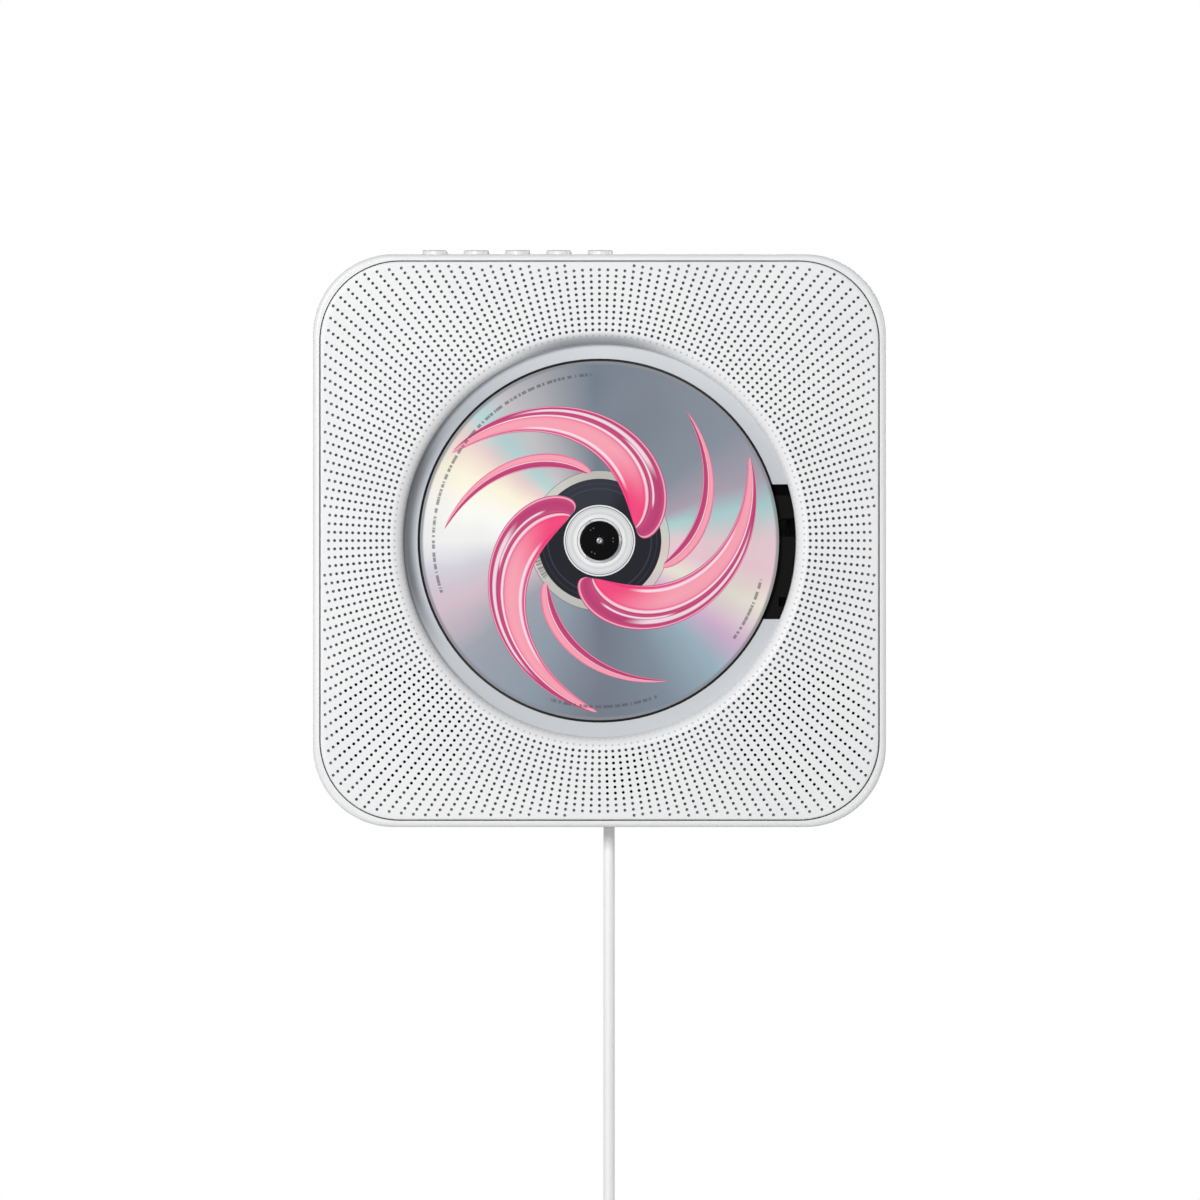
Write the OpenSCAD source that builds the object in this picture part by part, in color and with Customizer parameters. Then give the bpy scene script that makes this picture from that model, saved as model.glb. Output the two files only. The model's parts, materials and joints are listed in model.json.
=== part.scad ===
// Wall mounted disc player: a square white body with a perforated front, an open disc well
// in the middle, five keys on the top edge and a pull cord that is also the power lead.
// Pieces are drawn as if the player lay on its back: X to the right, Y up the wall and
// Z out of the wall, with X and Y measured from the middle of the body. stand() then sets
// them upright, with the origin at the middle of the bracket's screw holes, on the wall.

/* [Body] */
// Width and height of the square body
body_w = 191; // [188:1:230]
// Depth of the body, from the rear cover to the front rim
body_d = 43; // [42:0.5:60]
// Outer corner radius of the body
corner_r = 27; // [24:0.5:32]
// Thickness of the side wall
side_wall = 2.1; // [1.8:0.1:3]
// Corner radius of the opening that holds the front panel
opening_r = 26.9; // [24:0.1:28]
// Rounding of the front rim
rim_r = 1.6; // [0.6:0.1:1.7]
// Width of the shelf behind the front panel
shelf_w = 1.8; // [1:0.1:3]
// Thickness of that shelf
shelf_t = 1.5; // [1:0.1:3]
// Thickness of the rear cover
cover_t = 2.5; // [2.2:0.1:4]
// Thickness of the rubber pads on the back
pad_t = 1; // [0.8:0.1:3]
// Radius of a rubber pad
pad_r = 5; // [3:0.5:8]
// Distance of the upper posts from the sides of the body
post_inset = 16.5; // [14:0.5:20]
// Distance of the lower posts from the bottom of the body
post_up = 8.5; // [7.5:0.1:10]
// Radius of a post
post_r = 3.2; // [2.8:0.1:4]

/* [Front panel] */
// Gap between the panel and the rim
panel_gap = 0.3; // [0.2:0.05:0.5]
// Thickness of the front panel
panel_t = 2; // [1.6:0.1:3]
// Depth of the panel's face below the rim
panel_drop = 0.2; // [0:0.1:1]
// Radius of the well's wall, where the rolled shoulder ends
well_r = 65.5; // [64.5:0.1:68]
// Radius of the rolled shoulder
shoulder_r = 4.2; // [3:0.1:5]
// Thickness of the shoulder and of the well's wall
lip_t = 1.8; // [1.2:0.1:2.4]
// Depth of the ledge below the panel's face
ledge_drop = 6.2; // [5.5:0.1:8]
// Diameter of a sound hole
hole_d = 0.85; // [0.6:0.05:1.2]
// Distance between rows of holes along a ray
hole_pitch = 2; // [1.8:0.1:3]
// Number of rays of holes round the well
hole_rays = 200; // [150:2:220]

/* [Disc] */
// Radius of the disc
disc_r = 60; // [58:0.5:60]
// Radius of the disc's hole
disc_bore_r = 7.5; // [7.4:0.1:7.8]
// Thickness of the disc
disc_t = 1.2; // [1.1:0.1:1.5]
// Height of the disc's face above the ledge
disc_rise = 1; // [0.2:0.1:2]
// Gap round the disc in the well
disc_gap = 0.7; // [0.4:0.1:2]

/* [Disc well] */
// Thickness of the well's ring, wall and floor
well_t = 1.5; // [1.2:0.1:2]
// Depth of the well's floor below the disc
floor_drop = 3; // [2.6:0.1:4]
// Top of the slot for the deck, above the disc's centre
slot_up = 18.8; // [18.5:0.1:22]
// Bottom of the slot for the deck, below the disc's centre
slot_down = 26.2; // [26:0.1:28]
// Gap between the deck and the edges of its slot
slot_gap = 0.3; // [0.2:0.1:1]

/* [Turntable] */
// Radius of the turntable's flange
flange_r = 12; // [11.5:0.5:14]
// Radius of the rubber mat
mat_r = 11.4; // [10.5:0.1:11.5]
// Radius of the black hub cap
cap_r = 6.66; // [6.4:0.02:7]
// Height of the hub cap above the boss
cap_h = 1.4; // [1:0.1:2]
// Radius of the spindle
spindle_r = 1.25; // [1:0.05:1.5]
// Radius of a catch ball
ball_r = 2; // [1.8:0.05:2.1]
// Distance that a catch ball moves inwards
ball_travel = 0.5; // [0.2:0.1:0.6]
// Radius of the spindle motor
motor_r = 10; // [8:0.5:10]
// Length of the spindle motor
motor_h = 13; // [10:0.5:13]

/* [Pickup] */
// Lens position at the disc's first track, from the spindle
lens_start = 23; // [22.8:0.1:24]
// Travel of the pickup along its rods
pickup_travel = 34.5; // [30:0.5:34.5]
// Radius of a guide rod
rod_r = 1.5; // [1.2:0.1:1.6]
// Radius of the lens
lens_r = 2.2; // [1.8:0.1:2.4]
// Focus travel of the lens, each way
focus_travel = 0.5; // [0.3:0.1:0.5]
// Module of the rack and the small gear
rack_module = 0.5; // [0.5:0.05:0.5]
// Teeth of the small gear
rack_teeth = 18; // [18:1:18]
// Module of the large gear and the motor's pinion
gear_module = 0.4; // [0.4:0.05:0.4]
// Teeth of the large gear
gear_teeth = 48; // [48:1:48]
// Teeth of the motor's pinion
pinion_teeth = 18; // [18:1:18]
// Play between meshing teeth
backlash = 0.1; // [0.06:0.01:0.14]

/* [Speakers] */
// Gap between a speaker's frame and the side wall
speaker_side_gap = 3.4; // [1:0.1:6]
// Gap between a speaker's frame and the bottom wall
speaker_low_gap = 8.4; // [7.5:0.1:9]
// Gap between a speaker's frame and the wall of the well
speaker_well_gap = 2.19; // [1:0.01:4]
// Thickness of the speaker cloth
cloth_t = 0.3; // [0.2:0.1:0.5]
// Travel of a speaker cone, each way
cone_travel = 1; // [0.5:0.1:1.2]

/* [Keys] */
// Radius of a key cap
key_r = 4.4; // [4:0.1:4.6]
// Height of a key above the body
key_proud = 1.5; // [1:0.1:2]
// Distance between keys
key_pitch = 13.8; // [13:0.1:15]
// Position of the rightmost key, from the middle
key_last = 0.4; // [-2:0.1:10]
// Number of keys
key_count = 5; // [5:1:5]
// Travel of a key
key_travel = 0.9; // [0.5:0.1:1]
// Distance of the keys' centres from the front rim
key_back = 20; // [18:0.5:22]

/* [Pull cord] */
// Diameter of the cord
cord_d = 3.8; // [3.8:0.1:3.8]
// Cord position, right of the middle
cord_x = 3.2; // [3.2:0.1:3.2]
// Cord position, out from the wall
cord_z = 22; // [22:0.5:22]
// Travel of the pull switch
pull_travel = 4; // [2:0.5:5]
// Mean radius of the tied coil
coil_r = 22.6; // [22.6:0.1:22.6]
// Turns of the coil side by side, and one on another
coil_layers = 3; // [3:1:3]

/* [Bracket] */
// Height of the bracket's screw holes above the middle of the body
bracket_up = 38; // [34:1:40]
// Width of the bracket
plate_w = 66; // [64:1:72]
// Height of the bracket
plate_h = 30; // [24:1:32]
// Thickness of the bracket
plate_t = 2; // [1.5:0.1:2.2]
// Distance between the bracket's screw holes
screw_gap = 54; // [52:1:56]
// Radius of the bracket's screw holes
screw_hole_r = 2.2; // [1.6:0.1:2.5]
// Distance between the bracket's studs
stud_gap = 36; // [32:1:37]
// Radius of a stud's stem
stud_r = 2.4; // [2:0.1:3]
// Radius of a stud's head
stud_head_r = 4.4; // [4:0.1:5]
// Height that the player is lifted to come off the studs
lift = 10; // [9.5:0.5:12]

/* [Sockets] */
// Radius of a jack's bore
jack_bore_r = 1.8; // [1.6:0.05:2]
// Width of the plug opening of the data socket
usb_w = 13.1; // [12.5:0.1:13.5]
// Height of the data socket
usb_h = 5.7; // [5.3:0.1:6]

/* [Hidden] */
$fn = 64;

// Heights above the wall, from the back to the front
back_z = pad_t;
inside_z = back_z + cover_t;
rim_z = back_z + body_d;
face_z = rim_z - panel_drop;
panel_z = face_z - panel_t;
ledge_z = face_z - ledge_drop;
disc_top = ledge_z + disc_rise;
disc_z = disc_top - disc_t;
floor_z = disc_z - floor_drop;
half = body_w / 2;
inner = half - side_wall;

// Fits
fit = 0.05;
free = 0.3;

// Screws: the long ones hold the rear cover, the small ones all the rest
screw_r = 1.5;
screw_head_r = 2.8;
screw_len = 10;
head_recess = 1.5;
small_r = 1.25;
small_head_r = 2.4;
small_head_h = 1.3;
well_screw_len = 5;

// Well and shoulder
shoulder_out = well_r + shoulder_r;
well_in = disc_r + disc_gap;
well_screw_r = well_r + 5.5;
well_screw_angles = [60, 120, 200, 340];
boss_r = 3;

// Deck, from the disc's underside down
deck_top = disc_z - 1.2;
deck_t = 2;
deck_wall = 1.3;
deck_left = 24;
deck_r = well_r - slot_gap;
deck_up = slot_up - slot_gap;
deck_down = slot_down - slot_gap;
deck_bottom = deck_top - 17.6;
cup_in = flange_r + 1;
cup_z = deck_top - 5;
ear_z = deck_top - 9.2;
ear_t = 2;
ear_out = 6.5;
damper_r = 4.5;
damper_neck_r = 3;
damper_h = 6;
deck_ears = [[-12, deck_up + ear_out], [46, deck_up + ear_out],
             [-12, -deck_down - ear_out], [46, -deck_down - ear_out]];

// Windows in the deck's top, as left, bottom, width and height: the pickup's path, the slot
// that its lens runs on into, and the two dark ones at the deck's right end
window_left = cup_in + deck_wall + 1;
deck_windows = [
    [window_left, -13, 41.4, 24],
    [window_left, -lens_r - 1,
     lens_start + pickup_travel + lens_r + 0.7 - window_left, 2 * lens_r + 2],
    [56.5, 1.4, 9, 6],
    [59.8, -21.9, 2.7, 3]];

// Turntable, from the disc down
mat_t = 0.4;
flange_z = disc_z - mat_t - 1.7;
boss_top = disc_top + 0.7;
hub_r = disc_bore_r - 0.15;
ball_z = disc_top + 0.3;
ball_at = disc_bore_r - 0.1 - ball_r;
ball_angles = [3, 123, 243];

// Pickup and its gears
sled_top = deck_top - 3.2;
sled_h = 11;
sled_z = sled_top - sled_h;
sled_back = 7.8;
sled_front = 3.6;
sled_up = 15.8;
sled_down = 16.8;
rod_z = sled_z + 4.5;
rod_up = 12.5;
rod_down = 13.5;
rack_h = 3;
rack_pitch_y = -15.5;
small_pitch_r = rack_module * rack_teeth / 2;
large_pitch_r = gear_module * gear_teeth / 2;
pinion_pitch_r = gear_module * pinion_teeth / 2;
gear_x = 24;
gear_y = rack_pitch_y - small_pitch_r;
pinion_y = gear_y - large_pitch_r - pinion_pitch_r;
gear_t = 3;
small_gear_t = rack_h + 0.6;
gear_z = sled_z - small_gear_t - 0.2 - gear_t;
pin_boss_z = gear_z + gear_t + small_gear_t + 0.2;
pin_r = 1;
pin_boss_r = 2.2;
sled_motor_r = 7;
sled_motor_h = 11;
motor_ear_t = 1.5;
motor_ear_z = gear_z + gear_t + 0.6;

// Speakers: the largest circle that keeps its gaps to the two walls and the well
room_x = inner - speaker_side_gap;
room_y = inner - speaker_low_gap;
room_well = well_r + lip_t + speaker_well_gap;
room = room_x + room_y + room_well;
speaker_r = room - sqrt(room * room - room_x * room_x - room_y * room_y + room_well * room_well);
speaker_x = room_x - speaker_r;
speaker_y = -room_y + speaker_r;
speaker_z = panel_z - cloth_t;
surround_in = 3.3;
basket_t = 1.2;
basket_neck_r = 15.8;
basket_depth = 11.7;
magnet_r = 14.5;
magnet_h = 10;
pole_r = 5.3;
coil_gap_r = 6.9;
terminal_in = 5.3;

// Keys and their board
key_z = rim_z - key_back;
key_flange_r = key_r + 1;
key_flange_t = 1.6;
key_stem_r = 1.5;
switch_w = 6;
switch_h = 3.5;
board_t = 1.6;
key_board_y = inner - 10.4;
switch_top = key_board_y + board_t + switch_h;
key_board_w = (key_count - 1) * key_pitch + 15;
key_board_x = key_last - (key_count - 1) * key_pitch / 2;
key_board_d = 18;
groove = 1.2;

// Main board
board_z = inside_z + 5.5;
board_top = board_z + board_t;
board_y = half - 51.5;
board_h = 40;
board_side_gap = 37.5;
board_w = body_w - 2 * board_side_gap;
board_tongue = 8;
board_screw_len = 6;
socket_board_low = 8;
board_posts = [for (sx = [-1, 1], dy = [5, 35]) [sx * (board_w / 2 - 4), board_y + dy]];
// Chips and connectors: left edge, distance above the board's lower edge, width, depth, height
chips = [
    [-8, 14, 14, 14, 1.6], [-34, 20, 9, 11, 1.6], [26, 18, 15, 11, 2],
    [-board_w / 2 + 4, 10, 7, 8, 5], [board_w / 2 - 14, 12, 7, 8, 5], [-4, 1, 16, 4, 3.5]];
can_xs = [-44, 12, 20];
can_up = 8;
can_r = 3.1;
can_h = 9;
socket_board_in = 5.5;
socket_board_w = 24;
jack_z = board_top + 3;
jack_nose_r = 3;
jack_depth = 10.2;
jack_ys = [20, 34];
usb_y = 50.5;

// Pull switch
cord_r = cord_d / 2;
housing_w = 16;
housing_wall = 1.5;
housing_top = -half + 27.5 + pull_travel;
bushing_r = 3.2;
bushing_flange_t = 1.2;
bushing_in = -inner + bushing_flange_t;
housing_bottom = bushing_in + 0.2;
cavity_w = housing_w - 2 * housing_wall;
slider_w = cavity_w - 0.8;
slider_h = 10;
slider_top = housing_top - housing_wall - 0.5;
spring_r = 4;
spring_wire = 0.5;
spring_turns = 5;
ir_x = 8.8;
ir_w = 15;
ir_top = -shoulder_out - 1.3;
ir_low = -half + 10.5;
ir_y = (ir_top + ir_low) / 2;

// Cord: its own route, and the coil that it ends in, below the body
cord_points = [
    [3.2, -76, 22], [3.2, -88, 22], [3.2, -100, 22], [3.2, -112, 22], [3.2, -124, 22],
    [3.2, -136, 22], [3.2, -148, 22], [3.2, -160, 22], [3.2, -172, 22], [3.2, -184, 22],
    [3.2, -196, 22], [3.2, -208, 22], [3.2, -217, 22], [3.2, -225, 22], [2.8, -229.5, 22],
    [0.9, -234, 22], [-2, -237.2, 22], [-6, -238.7, 22]];
tail_points = [
    [-10, -250, 28.5], [-15, -254, 29.7], [-19.5, -260, 29.8], [-22.5, -267, 29.8],
    [-24, -275, 29.8], [-24, -284, 29.8]];
coil_at = [3, -263.5, 22];
coil_half = coil_layers * cord_d / 2;
tie_angle = 116;
tie_span = 20;
tie_t = 0.8;
plug_relief = 12;
plug_len = 22;
plug_w = 15;
plug_h = 8;
shell_len = 12;
shell_w = 12;
shell_h = 4.5;

// Leads inside the body: points near a speaker count from the body's lower corner on that
// side, points near the board from its upper corner
function near_speaker(side, points) =
    [for (p = points) [side * (half - p[0]), p[1] - half, p[2]]];
function near_board(side, points) =
    [for (p = points) [side * (half - p[0]), half - p[1], p[2]]];
left_lead = concat(
    near_speaker(-1, [[28, 53.9, speaker_z - 8], [27.5, 59.5, 30], [23.5, 68.5, 22], [18.5, 81.5, 14]]),
    near_board(-1, [
        [17.5, 87.5, 12], [20.5, 65.5, 12], [28.5, 48.5, 12.5], [34.5, 40, 13],
        [38, 37.5, 13.2], [41.3, 37.5, 13.2]]));
right_lead = concat(
    near_speaker(1, [[28, 53.9, speaker_z - 8], [26.5, 59.5, 28], [25.5, 67.5, 18], [26.5, 79.5, 9]]),
    [[half - 28.5, -2, 7]],
    near_board(1, [
        [31.5, 83.5, 7], [33.5, 72.5, 7.5], [34.5, 62.5, 9.8], [35.5, 55.5, 12.8], [37, 46.5, 13.8],
        [39.5, 38.5, 13.6], [41.5, 36.5, 13.3], [44.3, 36.5, 13.3]]));
lead_r = 1;
ribbon_t = 0.4;

module stand() translate([0, 0, -bracket_up]) rotate([90, 0, 0]) children();

module rounded_square(w, h, r) {
    square([w, h - 2 * r], center = true);
    square([w - 2 * r, h], center = true);
    for (sx = [-1, 1], sy = [-1, 1])
        translate([sx * (w / 2 - r), sy * (h / 2 - r)]) circle(r, $fn = 96);
}

module rounded_plate(w, h, r, t) linear_extrude(t) rounded_square(w, h, r);

// The lower posts stand between the speakers and the pull switch
module at_posts() for (sx = [-1, 1]) {
    translate([sx * (half - post_inset), half - post_inset, 0]) children();
    translate([sx * (speaker_x - speaker_r - 7), -half + post_up, 0]) children();
}

module at_well_screws() for (a = well_screw_angles)
    translate([well_screw_r * cos(a), well_screw_r * sin(a), 0]) children();

module at_speakers() for (sx = [-1, 1]) translate([sx * speaker_x, speaker_y, 0]) children();

module along_y() rotate([-90, 0, 0]) children();

module along_x() rotate([0, 90, 0]) children();

function unit(v) = v / norm(v);

function ring(p, t, side, r, sides) =
    let (u = unit(cross(side, t)), v = cross(t, u))
    [for (k = [0:sides - 1]) p + r * (cos(360 * k / sides) * u + sin(360 * k / sides) * v)];

// A tube of radius r along points; side is a direction that no stretch of it runs along
module tube(points, r, side, sides = 8) {
    n = len(points);
    rings = [for (i = [0:n - 1])
        each ring(points[i], unit(points[min(i + 1, n - 1)] - points[max(i - 1, 0)]), side, r, sides)];
    walls = [for (i = [0:n - 2], k = [0:sides - 1]) let (m = (k + 1) % sides)
        [i * sides + k, (i + 1) * sides + k, (i + 1) * sides + m, i * sides + m]];
    start = [for (k = [0:sides - 1]) k];
    end = [for (k = [sides - 1:-1:0]) (n - 1) * sides + k];
    polyhedron(points = rings, faces = concat([start], walls, [end]), convexity = 6);
}

function involute(a) = tan(a) * 180 / PI - a;

// Outline of an involute gear with a tooth on +X
function gear_outline(teeth, m) =
    let (rp = teeth * m / 2, rb = rp * cos(20), tip = rp + m, root = rp - 1.25 * m,
         at_base = (PI * m / 2 - backlash) / 2 / rp * 180 / PI + involute(20),
         low = max(rb, root), steps = 4,
         flank = [for (k = [0:steps]) let (r = low + (tip - low) * k / steps)
            [r, at_base - involute(acos(rb / r))]],
         foot = root < rb ? [[root, at_base]] : [],
         side = concat(foot, flank))
    [for (t = [0:teeth - 1]) each concat(
        [for (p = side) p[0] * [cos(t * 360 / teeth - p[1]), sin(t * 360 / teeth - p[1])]],
        [for (k = [len(side) - 1:-1:0]) let (p = side[k])
            p[0] * [cos(t * 360 / teeth + p[1]), sin(t * 360 / teeth + p[1])]])];

module wall_plate() color("gainsboro") stand() {
    difference() {
        translate([0, bracket_up, 0]) rounded_plate(plate_w, plate_h, 4, plate_t);
        for (sx = [-1, 1]) translate([sx * screw_gap / 2, bracket_up, -1])
            cylinder(r = screw_hole_r, h = plate_t + 2);
    }
    for (sx = [-1, 1]) translate([sx * stud_gap / 2, bracket_up, 0]) {
        translate([0, 0, plate_t]) cylinder(r = stud_r, h = stud_head_z - plate_t);
        translate([0, 0, stud_head_z]) cylinder(r = stud_head_r, h = 1.8);
    }
}

// The rear cover steps in round the bracket
recess_gap = 0.5;
recess_z = plate_t + recess_gap;
recess_t = 2;
stud_head_z = recess_z + recess_t + recess_gap;
recess_w = plate_w + 2 * recess_gap;
recess_h = plate_h + lift + 2 * recess_gap;
recess_y = bracket_up - lift / 2;

module rear_cover() color("whitesmoke") stand() difference() {
    union() {
        translate([0, 0, back_z]) rounded_plate(body_w, body_w, corner_r, cover_t);
        translate([0, recess_y, back_z])
            rounded_plate(recess_w + 2 * recess_t, recess_h + 2 * recess_t, 4 + recess_t,
                          recess_z + recess_t - back_z);
        for (p = board_posts) translate([p[0], p[1], inside_z]) cylinder(r = 2.6, h = board_z - inside_z);
        for (y = jack_ys) translate([half - 9.5, y + 7, inside_z]) cylinder(r = 2, h = board_z - inside_z);
    }
    translate([0, recess_y, 0]) rounded_plate(recess_w, recess_h, 4, recess_z);
    for (sx = [-1, 1]) translate([sx * stud_gap / 2, bracket_up, 0]) {
        cylinder(r = stud_r + 0.2, h = 20);
        translate([-stud_r - 0.2, -lift, 0]) cube([2 * stud_r + 0.4, lift, 20]);
        translate([0, -lift, 0]) cylinder(r = stud_head_r + 0.4, h = 20);
    }
    at_posts() {
        cylinder(r = screw_r + fit, h = 20);
        cylinder(r = screw_head_r + free, h = back_z + head_recess);
    }
    for (p = board_posts) translate([p[0], p[1], inside_z + 0.5]) cylinder(r = small_r + fit, h = 20);
    for (k = [0:5]) translate([-30, -52 - 5 * k, 0]) rounded_slot(60, 1.6, 20);
}

module rounded_slot(w, h, t) {
    translate([h / 2, 0, 0]) cylinder(d = h, h = t, $fn = 32);
    translate([w - h / 2, 0, 0]) cylinder(d = h, h = t, $fn = 32);
    translate([h / 2, -h / 2, 0]) cube([w - h, h, t]);
}

// The outer form of the side frame, with its rounded front rim
module rim_profile(w) {
    square([w, rim_z - inside_z - rim_r]);
    square([w - rim_r, rim_z - inside_z]);
    translate([w - rim_r, rim_z - inside_z - rim_r]) circle(rim_r, $fn = 48);
}

module outer_form() {
    straight = half - corner_r;
    translate([0, 0, inside_z]) {
        for (a = [0, 90]) rotate(a)
            translate([0, straight, 0]) rotate([90, 0, 0]) linear_extrude(2 * straight) {
                rim_profile(half);
                mirror([1, 0]) rim_profile(half);
            }
        for (a = [0:90:270]) rotate(a) translate([straight, straight, 0])
            rotate_extrude(angle = 90, $fn = 96) rim_profile(corner_r);
    }
}

module side_frame() color("white") stand() difference() {
    union() {
        difference() {
            outer_form();
            translate([0, 0, inside_z - 1]) rounded_plate(2 * inner, 2 * inner, opening_r, body_d);
        }
        translate([0, 0, panel_z - shelf_t]) linear_extrude(shelf_t) difference() {
            rounded_square(2 * inner, 2 * inner, opening_r);
            rounded_square(2 * (inner - shelf_w), 2 * (inner - shelf_w), opening_r - shelf_w);
        }
        for (sx = [-1, 1]) translate([key_board_x + sx * key_board_w / 2, 0, 0])
            mirror([sx < 0 ? 1 : 0, 0, 0]) key_board_rib();
    }
    for (k = [0:key_count - 1]) translate([key_last - k * key_pitch, inner - 1, key_z])
        along_y() cylinder(r = key_r + 0.25, h = side_wall + 2);
    translate([cord_x, -half - 1, cord_z]) along_y() cylinder(r = bushing_r, h = side_wall + 2);
    for (y = jack_ys) translate([inner - 1, y, jack_z])
        along_x() cylinder(r = jack_nose_r + free, h = side_wall + 2);
    translate([inner - 1, usb_y - usb_w / 2 - 0.2, board_top - 0.2])
        cube([side_wall + 2, usb_w + 0.4, usb_h + 0.4]);
}

// A rib on the top wall whose groove holds the right end of the key board
module key_board_rib() difference() {
    translate([-groove, key_board_y - 1.5, key_z - 7])
        cube([groove + 2.3, inner - key_board_y + 2, 14]);
    translate([-groove - 1, key_board_y - fit, key_z - key_board_d / 2])
        cube([groove + 1 + fit, board_t + 2 * fit, key_board_d]);
}

function in_panel(p) =
    let (h = inner - panel_gap - 1.4, r = opening_r - panel_gap - 1.4, x = abs(p[0]), y = abs(p[1]))
    x < h && y < h && (x < h - r || y < h - r || norm([x - h + r, y - h + r]) < r);

// Sound holes over one speaker, on the rays and rows of the whole front
module sound_holes(side) {
    rows = floor((half * sqrt(2) - shoulder_out) / hole_pitch);
    for (i = [0:hole_rays - 1], k = [0:rows])
        let (r = shoulder_out + 0.6 + k * hole_pitch, a = i * 360 / hole_rays,
             p = r * [cos(a), sin(a)])
        if (norm(p - [side * speaker_x, speaker_y]) < speaker_r - 2.2 && in_panel(p))
            translate(p) circle(d = hole_d, $fn = 16);
}

module front_panel() color("white") stand() {
    size = 2 * (inner - panel_gap);
    difference() {
        union() {
            translate([0, 0, panel_z]) linear_extrude(panel_t) difference() {
                rounded_square(size, size, opening_r - panel_gap);
                circle(shoulder_out, $fn = 200);
                for (side = [-1, 1]) sound_holes(side);
            }
            rotate_extrude($fn = 200) shoulder_profile();
            at_posts() translate([0, 0, inside_z]) cylinder(r = post_r, h = panel_z - inside_z);
            at_well_screws() translate([0, 0, ledge_z]) cylinder(r = boss_r, h = panel_z - ledge_z);
        }
        at_posts() cylinder(r = screw_r + fit, h = inside_z + screw_len);
        at_well_screws() cylinder(r = small_r + fit, h = panel_z - 0.5);
    }
}

// The rolled shoulder and the straight wall under it, down to the ledge
module shoulder_profile() {
    intersection() {
        translate([shoulder_out, face_z - shoulder_r]) difference() {
            circle(shoulder_r, $fn = 64);
            circle(shoulder_r - lip_t, $fn = 64);
        }
        translate([well_r, face_z - shoulder_r]) square([shoulder_r, shoulder_r]);
    }
    translate([well_r, ledge_z]) square([lip_t, face_z - shoulder_r - ledge_z]);
}

// The slot that lets the deck up into the well, as far as the well's wall
module slot_area(gap) intersection() {
    translate([-deck_left - gap, -deck_down - gap])
        square([deck_left + deck_r + 2 * gap, deck_up + deck_down + 2 * gap]);
    circle(deck_r + gap, $fn = 200);
}

module disc_well() color("white") stand() difference() {
    union() {
        rotate_extrude($fn = 200) {
            translate([0, floor_z - well_t]) square([well_in + well_t, well_t]);
            translate([well_in, floor_z - well_t]) square([well_t, ledge_z - floor_z + well_t]);
            translate([well_in, ledge_z - well_t]) square([well_r + lip_t - well_in, well_t]);
        }
        at_well_screws() translate([0, 0, ledge_z - well_t]) cylinder(r = boss_r + 0.5, h = well_t);
        for (a = well_screw_angles) rotate(a)
            translate([well_r, -boss_r, ledge_z - well_t]) cube([well_screw_r - well_r, 2 * boss_r, well_t]);
        for (p = deck_ears) translate([p[0], p[1], ear_z + damper_h - 2])
            cylinder(r = boss_r, h = floor_z - well_t - ear_z - damper_h + 2 + fit);
    }
    translate([0, 0, floor_z - 2 * well_t]) linear_extrude(10) slot_area(slot_gap);
    at_well_screws() cylinder(r = small_r + fit, h = rim_z);
    for (p = deck_ears) translate(p) cylinder(r = small_r + fit, h = floor_z - 0.6);
}

module bumper_pads() color("dimgray") stand() for (sx = [-1, 1], sy = [-1, 1])
    translate([sx * (half - 34), sy * (half - 12), 0]) cylinder(r = pad_r, h = pad_t);

module case_screws() color("silver") stand() at_posts() {
    translate([0, 0, back_z + 0.1]) cylinder(r = screw_head_r, h = head_recess - 0.1);
    translate([0, 0, back_z + head_recess]) cylinder(r = screw_r, h = screw_len);
}

// One small screw with its head at z, its shank going up by len
module small_screw(z, len) {
    translate([0, 0, z - small_head_h]) cylinder(r = small_head_r, h = small_head_h);
    translate([0, 0, z]) cylinder(r = small_r, h = len);
}

module small_screws() color("silver") stand() {
    at_well_screws() small_screw(ledge_z - well_t, well_screw_len);
    for (p = deck_ears) translate(p) small_screw(ear_z - 2, damper_h + 2.3);
    for (p = board_posts) translate([p[0], p[1], 2 * board_top]) mirror([0, 0, 1])
        small_screw(board_top, board_screw_len);
}

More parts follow.
